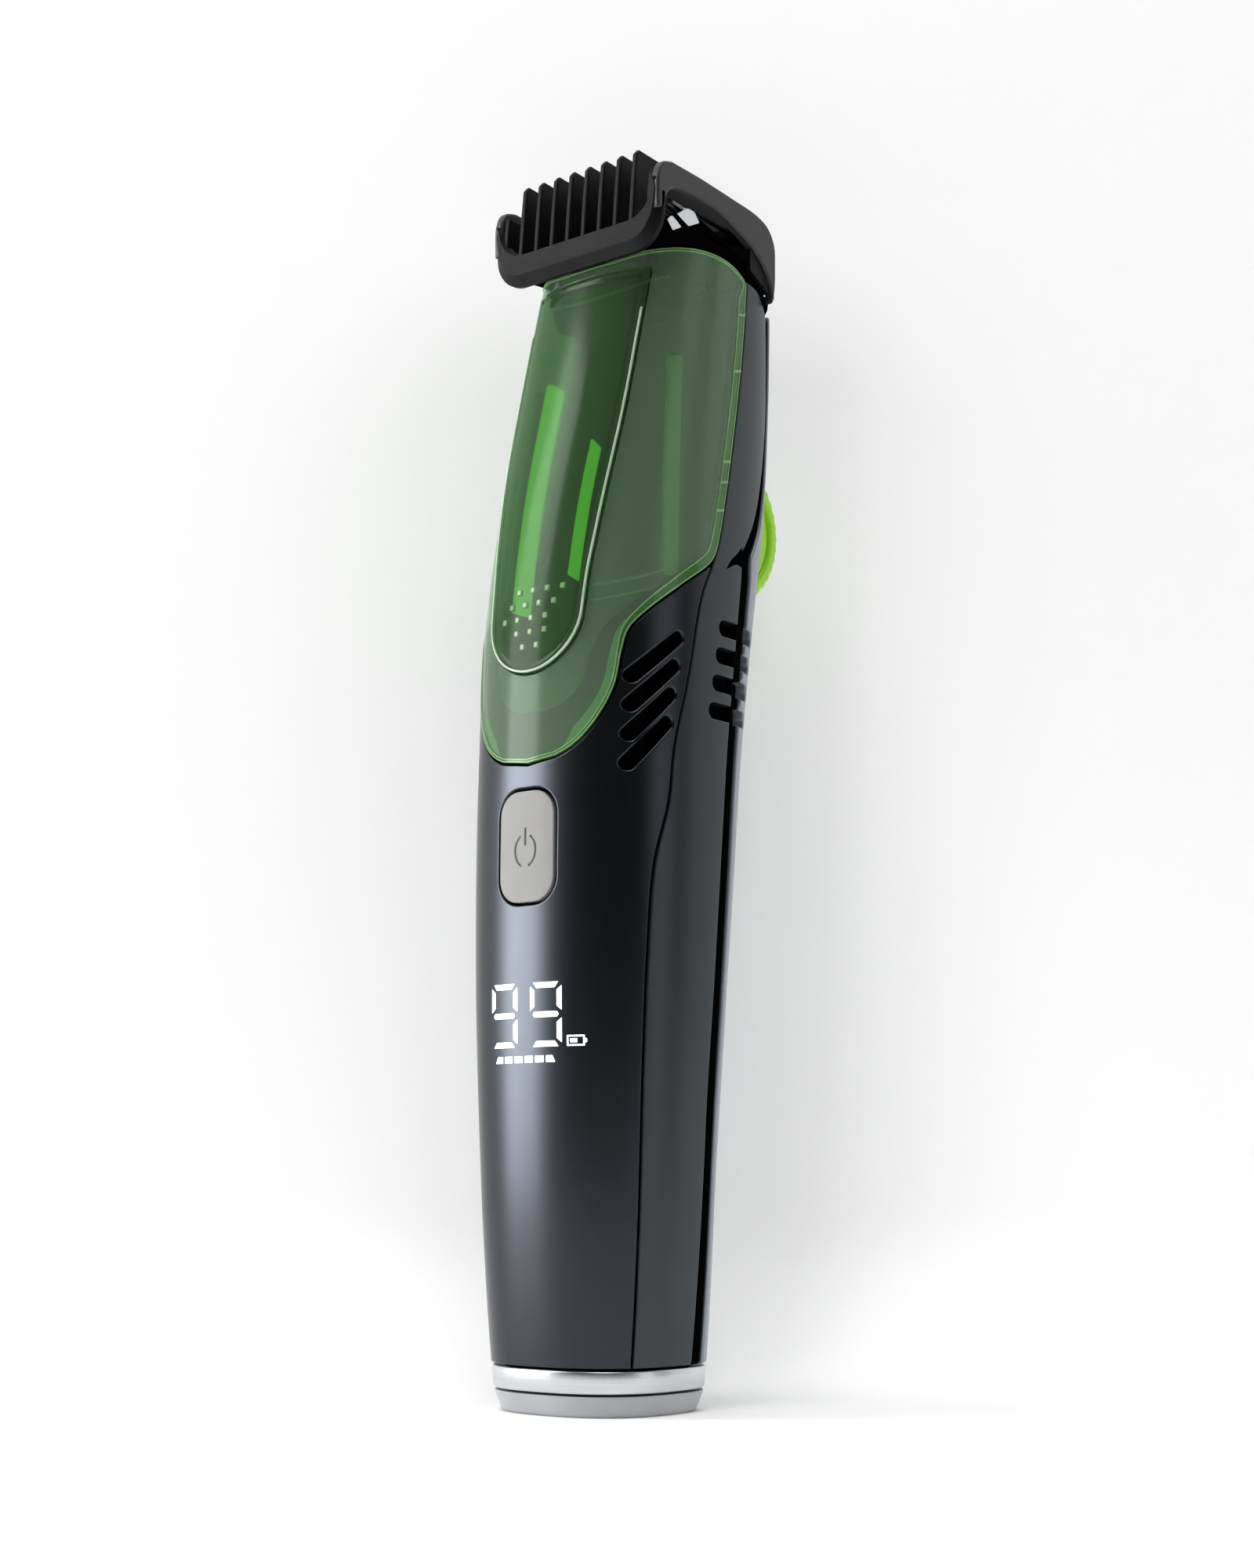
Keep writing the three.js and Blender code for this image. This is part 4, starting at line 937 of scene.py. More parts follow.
def segment_shapes(left, foot):
    """Outlines of the seven parts of one digit, with ends cut on a slant towards its inside."""
    right, middle, top = left + DIGIT_WIDTH, foot + DIGIT_HEIGHT / 2, foot + DIGIT_HEIGHT
    s, cut, gap = STROKE, STROKE * 0.75, 0.18

    def across(z, low_cut, high_cut):
        a, b = left + gap + cut * 0.6, right - gap - cut * 0.6
        return [(a + low_cut, z), (b - low_cut, z), (b - high_cut, z + s), (a + high_cut, z + s)]

    def upright(x, low, high, left_cut, right_cut):
        a, b = low + gap + cut * 0.6, high - gap - cut * 0.6
        return [(x, a + left_cut), (x + s, a + right_cut), (x + s, b - right_cut), (x, b - left_cut)]

    a, b = left + gap + cut, right - gap - cut
    return {
        "a": across(top - s, cut, 0),
        "b": upright(right - s, middle, top, cut, 0),
        "c": upright(right - s, foot, middle, cut, 0),
        "d": across(foot, 0, cut),
        "e": upright(left, foot, middle, 0, cut),
        "f": upright(left, middle, top, 0, cut),
        "g": [
            (a, middle - s / 2), (b, middle - s / 2), (b + cut * 0.5, middle),
            (b, middle + s / 2), (a, middle + s / 2), (a - cut * 0.5, middle),
        ],
    }


def box(left, low, right, high):
    """Corners of an upright rectangle."""
    return [(left, low), (right, low), (right, high), (left, high)]


BARS, BAR_WIDTH, BAR_PITCH = 6, 1.66, 2.08
BAR_LEFT, BAR_LOW, BAR_HIGH = -6.4, 51.6, 52.6
BAR_LEAN = 0.5                  # of the outer end of the first and the last bar


def display_marks():
    """Digits, the row of bars and the battery sign: a frame of four strokes, a nub and one cell."""
    outlines = []
    for left in DIGIT_LEFT:
        shapes = segment_shapes(left, DIGIT_FOOT)
        outlines += [shapes[part] for part in LIT]
    for i in range(BARS):
        left = BAR_LEFT + i * BAR_PITCH
        right = left + BAR_WIDTH
        top_left = left + (BAR_LEAN if i == 0 else 0)
        top_right = right - (BAR_LEAN if i == BARS - 1 else 0)
        outlines.append([(left, BAR_LOW), (right, BAR_LOW), (top_right, BAR_HIGH), (top_left, BAR_HIGH)])
    left, right, low, high, line = 7.6, 10.3, 53.9, 55.5, 0.24
    outlines += [
        box(left, low, right, low + line),
        box(left, high - line, right, high),
        box(left, low + line, left + line, high - line),
        box(right - line, low + line, right, high - line),
        box(right, low + 0.5, right + 0.3, high - 0.5),
        box(left + 0.5, low + 0.5, right - 1.1, high - 0.5),
    ]
    loops = [on_front_skin(rounded(shape, 0.1, 2)) for shape in outlines]
    return combine([
        plate([loop], front_chart, 0.1, edge=0.02, back_edge=0.01, lift=0.03, spacing=1.5, step=0.6)
        for loop in loops
    ])


piece("display_marks", display_marks(), "housing", "button_grey", finish="display_glow")

# ---- hair chamber -------------------------------------------------------------------------------
CHAMBER_WALL = 1.6
RIM_WIDTH, RIM_NARROW, RIM_LINE = 2.0, 0.8, 0.24
THUMB_TOP, THUMB_LINE_TOP = 178, 171
NOTCHES = (173, 163, 147, 143.4, 138.5)
FLOOR_WALL = 1.45
FLOOR_FROM, FLOOR_TO = 97.5, 178
FLOOR_COLUMNS = 9
FLOOR_SIDE_GAP, FLOOR_FRONT_GAP = 0.9, 0.6


def chamber_outline(distance):
    """Outline of the chamber on the skin, moved in by a distance."""
    right = np.vstack([EDGE_ON_SKIN, to_skin(on_front(TOP_CURVE))])
    outline = np.vstack([right, mirrored(right[1:])])
    return moved_in(outline, distance)[0] if distance else outline


def chamber_floor():
    """The sloping floor and rear wall, a band that follows the edge from side to side."""
    curve = EDGE_CURVE[(EDGE_CURVE[:, 1] > FLOOR_FROM) & (EDGE_CURVE[:, 1] < FLOOR_TO)]
    along = np.gradient(curve, axis=0)
    left = np.stack([-along[:, 1], along[:, 0]], 1)
    left /= np.linalg.norm(left, axis=1, keepdims=True)
    inside_front = section_at(curve[:, 1])[:, 2] + FLOOR_FRONT_GAP
    upper = curve + left * FLOOR_WALL
    upper[:, 0] = np.maximum(upper[:, 0], inside_front)
    points, faces, normals = [], [], []
    n = len(curve)
    for line, sign in ((curve, -1), (upper, 1)):
        for i, (y, z) in enumerate(line):
            reach = max(half_width(y, z) - FLOOR_SIDE_GAP, 0.3)
            for k in range(FLOOR_COLUMNS):
                points.append((reach * (2 * k / (FLOOR_COLUMNS - 1) - 1), y, z))
                normals.append((0, sign * left[i, 0], sign * left[i, 1]))
    under = n * FLOOR_COLUMNS
    for i in range(n - 1):
        for k in range(FLOOR_COLUMNS - 1):
            a = i * FLOOR_COLUMNS + k
            faces.append((a, a + 1, a + FLOOR_COLUMNS + 1, a + FLOOR_COLUMNS))
            b = a + under
            faces.append((b, b + FLOOR_COLUMNS, b + FLOOR_COLUMNS + 1, b + 1))
        for k, turn in ((0, 1), (FLOOR_COLUMNS - 1, -1)):
            a, b = i * FLOOR_COLUMNS + k, (i + 1) * FLOOR_COLUMNS + k
            faces.append((a, b, b + under, a + under)[::turn])
    for i, turn in ((0, 1), (n - 1, -1)):
        for k in range(FLOOR_COLUMNS - 1):
            a = i * FLOOR_COLUMNS + k
            faces.append((a, a + under, a + under + 1, a + 1)[::turn])
    return np.array(points), faces, np.array(normals)


def thumb_outline(grow=0.0):
    """U-shaped outline on the front, as (x, z)."""
    side = smooth([
        (9.4 + grow, 120.4), (9.7 + grow, 126), (10.3 + grow, 133), (11.4 + grow, 150),
        (11.6 + grow, 168), (11.6 + grow, THUMB_TOP + grow),
    ])
    bottom = arc((0, 120.4), 9.4 + grow, -180, 0, 20)
    return np.vstack([bottom[:-1], side, mirrored(side)[:-1]])


def chamber_walls():
    """Outer wall with a window for the thumb cover."""
    loops = [chamber_outline(0), on_front_skin(thumb_outline(0.15))]
    return plate(loops, front_chart, CHAMBER_WALL, edge=0.3, back_edge=0.2, spacing=1.3)


def thumb_cover():
    """Thumb cover: a raised bead round its edge and a slightly lower field."""
    rim = [
        (0, 0.9, 0), (0, 0.5, 0), (0.12, 0.15, 0.6), (0.35, 0.0, 1.2), (0.75, 0.0, 1.57), (1.0, 0.04, 1.75),
        (1.3, 0.16, 1.75), (1.55, 0.2, 1.57),
    ]
    return plate([on_front_skin(thumb_outline())], front_chart, 1.6, edge=rim, lift=0.45)


GRIP_ROWS = [(124.2, 4, 0.5), (122.0, 4, 0), (119.8, 4, -0.5), (117.6, 3, 0), (115.3, 2, 0)]
GRIP_PITCH = 2.85
GRIP_SIZE = 0.95


def grip_dots():
    """Small raised squares in staggered rows at the lower end of the thumb cover."""
    parts = []
    for z, count, shift in GRIP_ROWS:
        for i in range(count):
            x = (i - (count - 1) / 2 + shift) * GRIP_PITCH
            square = round_rect(GRIP_SIZE, GRIP_SIZE, 0.18, x, z, 3)
            shape = on_front_skin(square)
            parts.append(plate([shape], front_chart, 0.5, edge=0.2, lift=0.5, spacing=0.8, step=0.3))
    return combine(parts)


def skin_bar(line, width, lift, depth, edge):
    """Bar of even width along a line on the skin, given as (u, z)."""
    loop = np.vstack([widened(line, -width / 2), widened(line, width / 2)[::-1]])
    return plate([loop], front_chart, depth, edge=edge, lift=lift, spacing=0.9)


def rim_inner(back):
    """Inner edge of the bead, moved back out by a distance. The bead is narrow at its top and bottom."""
    loop = chamber_outline(0)
    width = np.interp(loop[:, 1], [112, 128, 176, 179], [RIM_NARROW, RIM_WIDTH, RIM_WIDTH, RIM_NARROW])
    return moved_in(loop, (width - back)[:, None])[0]


def chamber_rim():
    """Bead that runs along the chamber's edge on both sides."""
    loops = [chamber_outline(0), rim_inner(0)]
    return plate(loops, front_chart, 0.55, edge=0.2, back_edge=0.1, lift=0.06, spacing=1.0)


def rim_lines():
    """Two fine raised lines along the bead."""
    pairs = [
        (chamber_outline(0.1), chamber_outline(0.1 + RIM_LINE)),
        (rim_inner(RIM_LINE + 0.08), rim_inner(0.08)),
    ]
    return combine([plate(pair, front_chart, 0.4, edge=0.1, lift=0.14, spacing=2.0) for pair in pairs])


def thumb_line():
    """Fine line round the sides and the end of the thumb cover, pale as a painted highlight."""
    cover = thumb_outline(-0.3)
    right = cover[(cover[:, 0] >= 0) & (cover[:, 1] < THUMB_LINE_TOP)]
    half = on_front_skin(right[np.argsort(right[:, 1])])
    return skin_bar(np.vstack([mirrored(half[1:]), half]), 0.34, 0.62, 0.4, 0.1)


def rim_notches():
    """Short raised bars across the rear run of the bead, on both sides."""
    tilt = 0.25
    bars = []
    for z in NOTCHES:
        u = np.interp(z, EDGE_ON_SKIN[:, 1], EDGE_ON_SKIN[:, 0])
        line = np.array([(u - RIM_WIDTH, z - tilt), (u - RIM_WIDTH / 2, z), (u - 0.15, z + tilt)])
        bars.append(skin_bar(line, 0.5, 0.32, 0.5, 0.16))
    return both_sides(*bars)


RIB_X, RIB_DEPTH = 5.5, 3.0
LONG_RIB_X = 5.8


def upright_ribs():
    """Two ribs that stand behind the thumb cover, made to glow green as painted light."""
    left = on_front_skin(smooth([(-LONG_RIB_X, 122), (-LONG_RIB_X, 142), (-LONG_RIB_X + 0.3, 161)]))
    right = on_front_skin(smooth([(RIB_X, 126.5), (RIB_X + 0.4, 138), (RIB_X + 1, 149)]))
    return combine([skin_bar(left, 1.3, -1.2, RIB_DEPTH, 0.15), skin_bar(right, 0.4, -1.2, RIB_DEPTH, 0.1)])


def chamber_ribs():
    """A band and lines on the inside of the wall, on each side."""
    inside = -CHAMBER_WALL + 0.1
    band = to_skin(smooth([(-3.5, 126.5), (-2.2, 143), (0, 163.5)]))
    floor_line = to_skin(smooth([(-14.4, 124.4), (-11, 125.2), (-2.5, 128)]))
    lower_line = floor_line - [0, 2.4]
    shelf = on_front_skin(smooth([(0, 175.2), (6, 175.6), (14.2, 177.4)]))
    lobe = on_front_skin(smooth([(0, 103.9), (4, 104.9), (8.5, 107.2)]))
    lobe_side = to_skin(smooth([(-14.7, 108.8), (-13.6, 113.4), (-12.6, 116.6)]))
    lines = (
        (band, 3.1, 0.7), (floor_line, 0.5, 0.7), (lower_line, 0.5, 0.7),
        (shelf, 0.45, 0.6), (lobe, 0.5, 0.6), (lobe_side, 0.5, 0.6),
    )
    return both_sides(*(skin_bar(line, width, inside, depth, 0.15) for line, width, depth in lines))


for name, part, finish, *replaced in (
    ("chamber_shell", chamber_walls(), "chamber_green", "hair_chamber"),
    ("chamber_floor", chamber_floor(), "chamber_floor_green"),
    ("chamber_rim", chamber_rim(), "chamber_green_edge"),
    ("rim_lines", rim_lines(), "bright_green_edge"),
    ("rim_notches", rim_notches(), "bright_green_edge"),
    ("chamber_ribs", chamber_ribs(), "bright_green_edge"),
    ("upright_ribs", upright_ribs(), "lit_green_rib"),
    ("thumb_line", thumb_line(), "pale_green_edge"),
    ("thumb_plate", thumb_cover(), "thumb_green", "thumb_cover"),
    ("thumb_grip", grip_dots(), "bright_green_edge"),
):
    piece(name, part, "hair_chamber", "chamber_green", *replaced, finish=finish)

# ---- comb ---------------------------------------------------------------------------------------
COMB_WALL = 1.6
DOME_X = (14.35, 15.7)
TAIL_X = 15.9
INTAKE_X = 11.2
INTAKE_COLUMNS, INTAKE_PITCH = 19, 1.1
STUD_UP = (0, -0.193, 0.981)    # along the front of the intake
STUD_ROWS = (0.25, 0.45, 0.65)  # shares of the way down it


def side_chart(x):
    """Plane across the body at x, with y and z as its coordinates, seen from +x."""
    return flat_chart((x, 0, 0), (0, 1, 0), (0, 0, 1))


def slab(outline, from_x, to_x, edge, spacing=1.4, step=0.9):
    """Side-view outline as a solid between two planes across the body, with both rims rolled."""
    chart, depth = side_chart(to_x), to_x - from_x
    return plate([np.asarray(outline)], chart, depth, edge, edge, spacing=spacing, step=step)


def crossbar(corners, corner_radius, reach, edge):
    """Slab from side to side of the body."""
    return slab(rounded(corners, corner_radius), -reach, reach, edge)


def cutter_dome():
    """Black side cheeks of the cutting head, between the chamber's top and the comb."""
    low = [(-2.6, 181.4), (1, 182.1), (7, 182.2), (12.5, 181.4), (16.2, 179.9), (22.4, 176.9)]
    high = [(20.4, 183.4), (16.5, 184.5), (11, 185.3), (5, 185.5), (-0.5, 185.2), (-3, 183.6)]
    cheek = np.vstack([smooth(low, 0.7), [(23, 178), (20.5, 179.6)], smooth(high, 0.7)])
    skirt = rounded([(5.4, 184.9), (13.4, 183.9), (13.6, 185.2), (5.6, 187.3)], 0.2)
    bridge = [(16.3, 176.6), (17.2, 176.6), (17.2, 183), (16.3, 183)]
    tail = [(20.4, 176.8), (22.8, 176.8), (22.8, 179.9), (20.4, 180.1)]
    return combine([
        both_sides(slab(cheek, *DOME_X, 0.35), slab(skirt, DOME_X[1] - 0.14, DOME_X[1], 0.05)),
        crossbar(bridge, 0.2, DOME_X[0], 0.2),
        crossbar(tail, 0.2, TAIL_X, 0.2),
    ])


def blade_tabs():
    """Bright metal tabs of the blade holder that show on the cheeks, under the comb's side walls."""
    shapes = [
        [(2.8, 185.1), (5.6, 186.5), (4.3, 188.0), (2.6, 188.1), (-0.2, 186.3)],
        [(-1.2, 183.2), (1.0, 184.4), (-1.2, 185.6), (-1.9, 185.4), (-2.6, 184.6)],
    ]
    tabs = [
        slab(rounded(shape, 0.2), DOME_X[1] - 0.1, DOME_X[1] + 0.15, 0.06, 1.0, 0.4) for shape in shapes
    ]
    return both_sides(*tabs)


def cutter_intake():
    """Dark underside of the head that reaches into the chamber, with a studded front."""
    front_top, front_low = np.array((-1.1, 181.2)), np.array((0.2, 174.6))
    shape = [(-1.1, 183), front_top, front_low, (1.6, 172.8), (9.4, 173.4), (10.6, 183)]
    parts = [crossbar(shape, 0.6, INTAKE_X, 0.8)]
    stud = round_rect(0.6, 0.8, 0.15, 0, 0, 2)
    for share in STUD_ROWS:
        y, z = front_top + (front_low - front_top) * share
        for i in range(INTAKE_COLUMNS):
            x = (i - (INTAKE_COLUMNS - 1) / 2) * INTAKE_PITCH
            chart = flat_chart((x, y, z), (1, 0, 0), STUD_UP)
            parts.append(plate([stud], chart, 0.4, edge=0.1, lift=0.2, spacing=2))
    return combine(parts)


piece("cutter_cheeks", cutter_dome(), "housing", "inner_plastic", finish="trim_black")
piece("blade_tabs", blade_tabs(), "housing", "blade_steel")
piece("cutter_intake", cutter_intake(), "housing", "inner_plastic")


def comb_walls():
    """Arched side walls and the back of the comb."""
    front = [(-7, 185), (-6.9, 190.5), (-5.8, 192.8), (-3.4, 193.6)]
    top = [
        (4, 193.2), (12, 192.4), (19, 191.5), (22, 190.2), (23.7, 187.6), (23.9, 184), (23.6, 179.5),
        (22.8, 177.4),
    ]
    arch = [
        (22.4, 180.2), (21, 182.6), (18.6, 184.9), (14.2, 187), (9.6, 188.6), (4.1, 189.5),
        (-1.5, 189.6), (-3.5, 188.9), (-4.9, 187.2), (-5.3, 185),
    ]
    wall = np.vstack([smooth(run, 0.6) for run in (front, top, arch)])
    back = [(21.9, 184), (23.5, 184), (23.5, 188), (21.9, 189.4)]
    return combine([
        both_sides(slab(wall, COMB_X - COMB_WALL, COMB_X, 0.45)),
        crossbar(back, 0.4, COMB_X - 0.8, 0.2),
    ])


def comb_gussets():
    """Dark webs that fill the rear corners of the side walls, set back from their faces."""
    shape = [
        (17.4, 185.4), (17.4, 181.7), (19.5, 180.7), (22.4, 179.0), (23.2, 179.0), (23.3, 184.5), (20, 186),
    ]
    return both_sides(slab(rounded(shape, 0.3), COMB_X - 1.5, COMB_X - 0.5, 0.15))


def comb_lip():
    """Bevelled lip round the comb's front, open at the top for the tines."""
    lip_middle, opening_middle, lip_top = 186.4, 191.6, 191.2
    outer = round_rect(2 * COMB_X, 14.6, 5.8, 0, lip_middle, 14)
    outer = outer[outer[:, 1] < lip_top]
    inner = round_rect(2 * COMB_X - 3.6, 14, 4.6, 0, opening_middle, 14)
    inner = inner[inner[:, 1] < lip_top]
    outer = outer[np.argsort(np.arctan2(outer[:, 0], lip_middle - outer[:, 1] + 20))]
    inner = inner[np.argsort(-np.arctan2(inner[:, 0], opening_middle - inner[:, 1] + 20))]

    def bevel_reach(loop):
        """Full width of the bevel below, and a third of it along the opening for the tines."""
        to_outer, to_inner = [
            np.array([np.min(np.linalg.norm(side - p, axis=1)) for p in loop]) for side in (outer, inner)
        ]
        low = np.interp(loop[:, 1], [182, 188], [1, 0.4])
        return np.where(to_outer < to_inner, low, 0.3)

    chart = flat_chart((0, -7.2, 0), (1, 0, 0), (0, 0, 1))
    bevel = chamfer_profile(1.7, 1.1)
    loop = np.vstack([outer, inner])
    return plate([loop], chart, 2, edge=bevel, back_edge=0.2, spacing=1, step=0.7, reach=bevel_reach)


LEG_LEAN = math.radians(6)
LEG_FOOT = (20.2, 160)
LEG_X = (10, 11.5)


def comb_front():
    """Front lip, tines, the bar behind them and the legs."""
    front = [(-7, 183.8), (-6.5, 190), (-5.9, 195.6)]
    top = [(-5.2, 196.4), (3, 195.6), (12, 194.0), (20, 192.4), (22.4, 190.6)]
    under = [(22.2, 189.2), (12, 190.0), (3, 190.4), (-1.2, 190.0), (-2.4, 187), (-4, 184.4), (-5.2, 183.6)]
    tine = np.vstack([smooth(run) for run in (front, top, under)])
    parts = [comb_lip()]
    for i in range(COMB_TINES):
        x = (i - (COMB_TINES - 1) / 2) * TINE_PITCH
        parts.append(slab(tine, x - 0.5, x + 0.5, 0.3))
    bar = [(18.4, 188.9), (22.8, 188.9), (22.6, 190.4), (18.4, 190.8)]
    parts.append(crossbar(bar, 0.4, COMB_X - 0.8, 0.2))
    # webs that close the corners between the lip and the side walls
    web = np.vstack([
        smooth([(-6.6, 184.6), (-6.6, 188), (-6.2, 191.6)]),
        smooth([(-1.6, 191.4), (-2.2, 188.8), (-3.4, 186.8), (-4.8, 184.8)]),
    ])
    along, up = np.array([(-1.3, 3.6), (1.3, 3.6), (1.3, 22), (-1.3, 22)]).T
    leg = np.stack([
        LEG_FOOT[0] + along * math.cos(LEG_LEAN) + up * math.sin(LEG_LEAN),
        LEG_FOOT[1] - along * math.sin(LEG_LEAN) + up * math.cos(LEG_LEAN),
    ], 1)
    foot_bar = [(20.9, 180.2), (23.5, 180.2), (23.5, 182.6), (20.9, 182.6)]
    parts.append(both_sides(
        slab(web, COMB_X - 2.7, COMB_X - 1.7, 0.2),
        slab(rounded(leg, 0.3), *LEG_X, 0.2),
        slab(rounded(foot_bar, 0.3), LEG_X[0], COMB_X - 0.4, 0.2),
    ))
    return combine(parts)


piece("comb_attachment", comb_front(), "comb", "comb_black", "comb_guard")
piece("comb_gussets", comb_gussets(), "comb", "comb_black")
# the side walls wear the lighter, painted-light copy of the comb's black
piece("comb_side_walls", comb_walls(), "comb", "comb_black", finish="comb_wall_black")

# ---- wheels -------------------------------------------------------------------------------------
FLUTES = 40


def wheel():
    """Thumb wheel with a fluted rim and a thinner web."""
    turn = np.linspace(0, 2 * math.pi, FLUTES * 6, endpoint=False)
    radius = WHEEL_RADIUS - 0.22 * (1 - np.cos(turn * FLUTES)) / 2
    rim = np.stack([WHEEL_Y + radius * np.cos(turn), WHEEL_Z + radius * np.sin(turn)], 1)
    bore = arc((WHEEL_Y, WHEEL_Z), 1.3, 0, 345, 23)
    dish = arc((WHEEL_Y, WHEEL_Z), 10.4, 0, 354, 59)
    width, recess = WHEEL_TO - WHEEL_FROM, 0.6
    disc = plate([rim, dish], side_chart(WHEEL_TO), width, edge=0.8, back_edge=0.8, spacing=1.5, step=0.5)
    web = plate([dish, bore], side_chart(WHEEL_TO - recess), width - 2 * recess, edge=0.1, spacing=2.0)
    return combine([disc, web])


right_wheel = wheel()
piece("length_wheel_right", right_wheel, "wheel", "wheel_lime", "zoom_wheel_right")
piece("length_wheel_left", flipped(right_wheel), "wheel", "wheel_lime", "zoom_wheel_left")

# ---- foot -------------------------------------------------------------------------------------
FOOT_SCREW = (9.5, -4)
INLET_Y, INLET_WIDTH, INLET_DEPTH = 6.2, 9.5, 3.8


def foot():
    """Slanted foot with the charging inlet and two screw holes, seen from below."""
    chart = flat_chart((0, 0, 0), (1, 0, 0), (0, -1, 0))
    slant = [
        (0, 2.95, 0), (0.12, 2.6, 0.2), (0.95, 0.5, 0.35), (1.1, 0.2, 0.8), (1.35, 0.04, 1.2),
        (1.6, 0, 1.5),
    ]
    loops = [
        section_loop(FOOT_TOP, 0.1) * [1, -1],
        round_rect(INLET_WIDTH, INLET_DEPTH, 1.8, 0, -INLET_Y),
        *(arc((side * FOOT_SCREW[0], -FOOT_SCREW[1]), 2.3, 0, 345, 23) for side in (1, -1)),
    ]
    return plate(loops, chart, FOOT_TOP, edge=slant, hole_edge=0.3, spacing=1.6, step=0.6)


def rear_deck():
    """Cap over the head's open top behind the comb, sloping down to the back panel."""
    front = 24.4

    def chart(uv):
        x, y = uv.T
        z = np.interp(y, [front, 27.6, 32], [179.6, 179, 177.2])
        slope = np.interp(y, [25, 27, 28.2, 31], [-0.19, -0.19, -0.41, -0.41])
        normal = np.stack([np.zeros(len(x)), -slope, np.ones(len(x))], 1)
        return np.stack([x, y, z], 1), normal / np.linalg.norm(normal, axis=1, keepdims=True)

    loop = section_loop(BODY_TOP + 1, 0.2, 240)
    loop = loop[loop[:, 1] > front]
    corner = float(np.abs(loop[:, 0]).max())
    order = np.argsort(-np.arctan2(loop[:, 0], loop[:, 1] - 20))
    loop = np.vstack([loop[order], [(corner, front), (-corner, front)]])
    return plate([loop], chart, 0.95, edge=0.35, spacing=1.3)


def ring():
    """Metal ring with softened edges."""
    outside = [(0, 0.35), (0.1, 0.12), (0.35, 0)]
    return stacked([
        *((RING_FROM + rise, inset) for rise, inset in outside),
        *((RING_TO - drop, inset) for drop, inset in reversed(outside)),
        (RING_TO, SHELL), (RING_FROM, SHELL),
    ])


piece("foot_ring", ring(), "housing", "ring_satin", "base_ring")
piece("foot_plate", foot(), "housing", "foot_grey", "base_foot")
piece("rear_cap", rear_deck(), "housing", "trim_black", "rear_deck")

# ---- what the frame already has in the right shape ---------------------------------------------
# each node gets its slot's material, and the inner frame is matt under the trim's glossy black
for subpart in frame["record"]["subparts"]:
    node, slot = subpart["node"], subpart["material_slot"]
    if not NODES[node].hide_render:
        finish = "inner_plastic" if node.startswith("inner_frame") else slot
        NODES[node].data.materials.clear()
        NODES[node].data.materials.append(MATERIALS[finish])

# ---- camera, floor and light --------------------------------------------------------------------
CAMERA_TURN = math.radians(40)
TO_RIGHT = Vector((math.cos(CAMERA_TURN), math.sin(CAMERA_TURN), 0))
TO_CAMERA = Vector((math.sin(CAMERA_TURN), -math.cos(CAMERA_TURN), 0))
UP = Vector((0, 0, 1))
LIT_PLACE = Vector((0, 0, 0.1))  # what the lights point at

scene = bpy.context.scene
camera = bpy.data.objects.new("camera", bpy.data.cameras.new("camera"))
camera.location = (0.24735, -0.28850, 0.03572)
camera.rotation_euler = (math.radians(99), 0, CAMERA_TURN)
camera.data.lens = 56
camera.data.sensor_width = 36
camera.data.clip_start = 0.01
scene.collection.objects.link(camera)
scene.camera = camera

BACKDROP_GAP = 0.042            # from the body's axis to the upright part of the sweep
BACKDROP_CURVE = 0.03
stage_group = bpy.data.collections.new("stage")
scene.collection.children.link(stage_group)


def paper():
    """Matt white, seen from its front only."""
    n = Nodes("floor_paper")
    tone = n.mix(n.spread(n.noise(5, 2), 0, 1), [0.86, 0.86, 0.86, 1], [0.87, 0.87, 0.87, 1])
    matt = n.add("ShaderNodeBsdfDiffuse", Color=tone)
    clear = n.add("ShaderNodeBsdfTransparent")
    behind = n.add("ShaderNodeNewGeometry").outputs["Backfacing"]
    return n.finish(n.mix_shaders(behind, matt, clear))


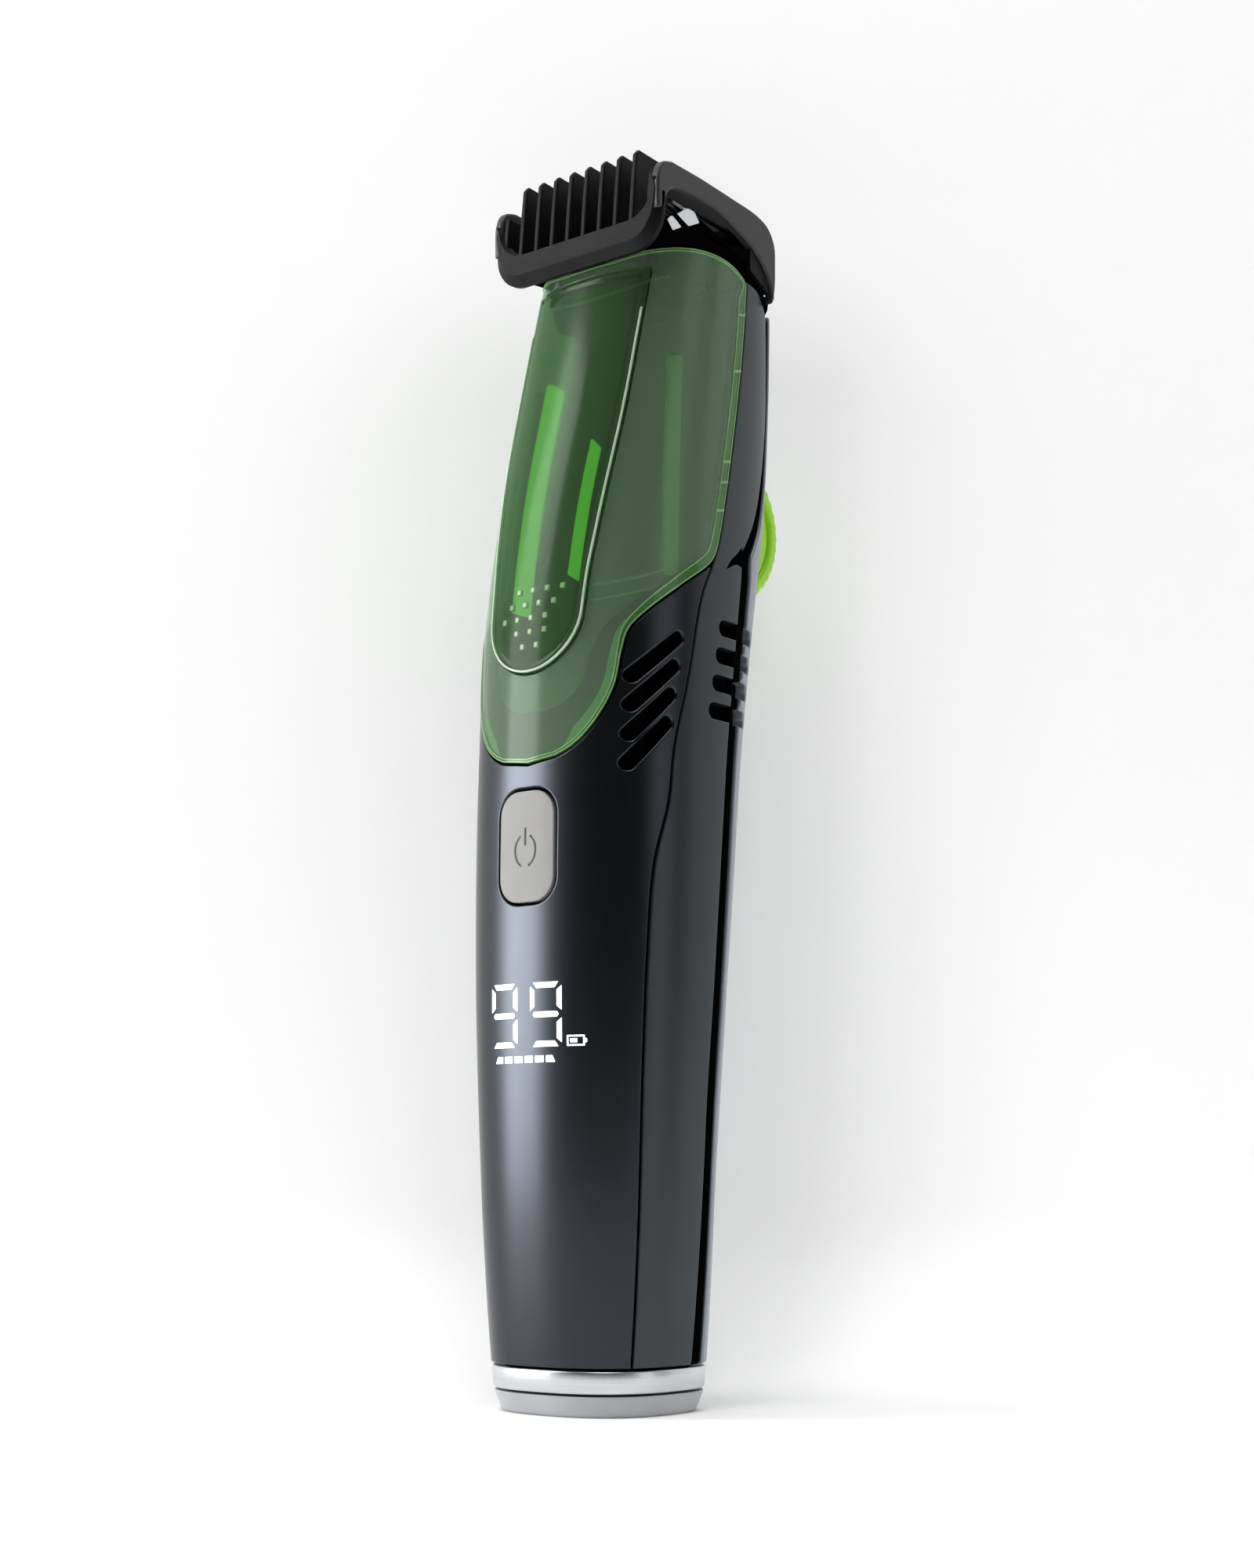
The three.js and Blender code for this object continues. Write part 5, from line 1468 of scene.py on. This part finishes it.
def sweep():
    """Pale paper: a floor that curves up into a backdrop behind the object."""
    steps = 12
    line = [(0.3, 0.0)]
    for k in range(steps + 1):
        turn = math.pi / 2 * k / steps
        line.append((
            -BACKDROP_GAP + BACKDROP_CURVE - BACKDROP_CURVE * math.sin(turn),
            BACKDROP_CURVE * (1 - math.cos(turn)),
        ))
    line.append((-BACKDROP_GAP, 0.9))
    points = []
    for side in (-0.8, 0.8):
        points += [tuple(TO_RIGHT * side + TO_CAMERA * near + UP * high) for near, high in line]
    n = len(line)
    faces = [(k, k + n, k + n + 1, k + 1) for k in range(n - 1)]
    mesh = bpy.data.meshes.new("floor_sweep")
    mesh.from_pydata(points, [], faces)
    mesh.polygons.foreach_set("use_smooth", [True] * len(mesh.polygons))
    mesh.materials.append(paper())
    obj = bpy.data.objects.new("floor_sweep", mesh)
    stage_group.objects.link(obj)


def softbox(name, left, up, distance, width, height, power, receivers=None):
    """Area light placed by its angles left of the camera's direction and above the floor."""
    turn, rise = math.radians(left), math.radians(up)
    level = TO_CAMERA * math.cos(turn) - TO_RIGHT * math.sin(turn)
    place = LIT_PLACE + (level * math.cos(rise) + UP * math.sin(rise)) * distance
    data = bpy.data.lights.new(name, "AREA")
    data.shape = "RECTANGLE"
    data.size, data.size_y, data.energy = width, height, power
    obj = bpy.data.objects.new(name, data)
    obj.location = place
    obj.rotation_euler = (LIT_PLACE - place).to_track_quat("-Z", "Y").to_euler()
    scene.collection.objects.link(obj)
    if receivers:
        obj.light_linking.receiver_collection = receivers


sweep()
casing_group = bpy.data.collections.new("front_casing_only")
scene.collection.children.link(casing_group)
casing_group.objects.link(front_casing)
softbox("side_light", 88, 8, 0.7, 0.24, 1.0, 6.5)
softbox("casing_light", 92, 4, 0.7, 0.42, 1.0, 12, casing_group)
softbox("side_fill", -62, 12, 0.8, 0.35, 1.0, 1.0)
softbox("paper_light", 36, 14, 1.2, 0.7, 0.7, 4.4, stage_group)
softbox("paper_fill", -20, 20, 1.2, 1.0, 1.0, 2.8, stage_group)
softbox("top_light", 10, 75, 0.9, 0.5, 0.5, 3)
scene.world = bpy.data.worlds.new("studio")
scene.world.use_nodes = True
world_nodes = scene.world.node_tree.nodes
world_nodes["Background"].inputs["Color"].default_value = (1, 1, 1, 1)
# dim as a light on the object, pale as a background
strength = world_nodes.new("ShaderNodeMapRange")
strength.inputs["To Min"].default_value = 0.08
strength.inputs["To Max"].default_value = 0.85
seen = world_nodes.new("ShaderNodeLightPath").outputs["Is Camera Ray"]
scene.world.node_tree.links.new(seen, strength.inputs["Value"])
scene.world.node_tree.links.new(strength.outputs["Result"], world_nodes["Background"].inputs["Strength"])
scene.view_settings.view_transform = "Standard"
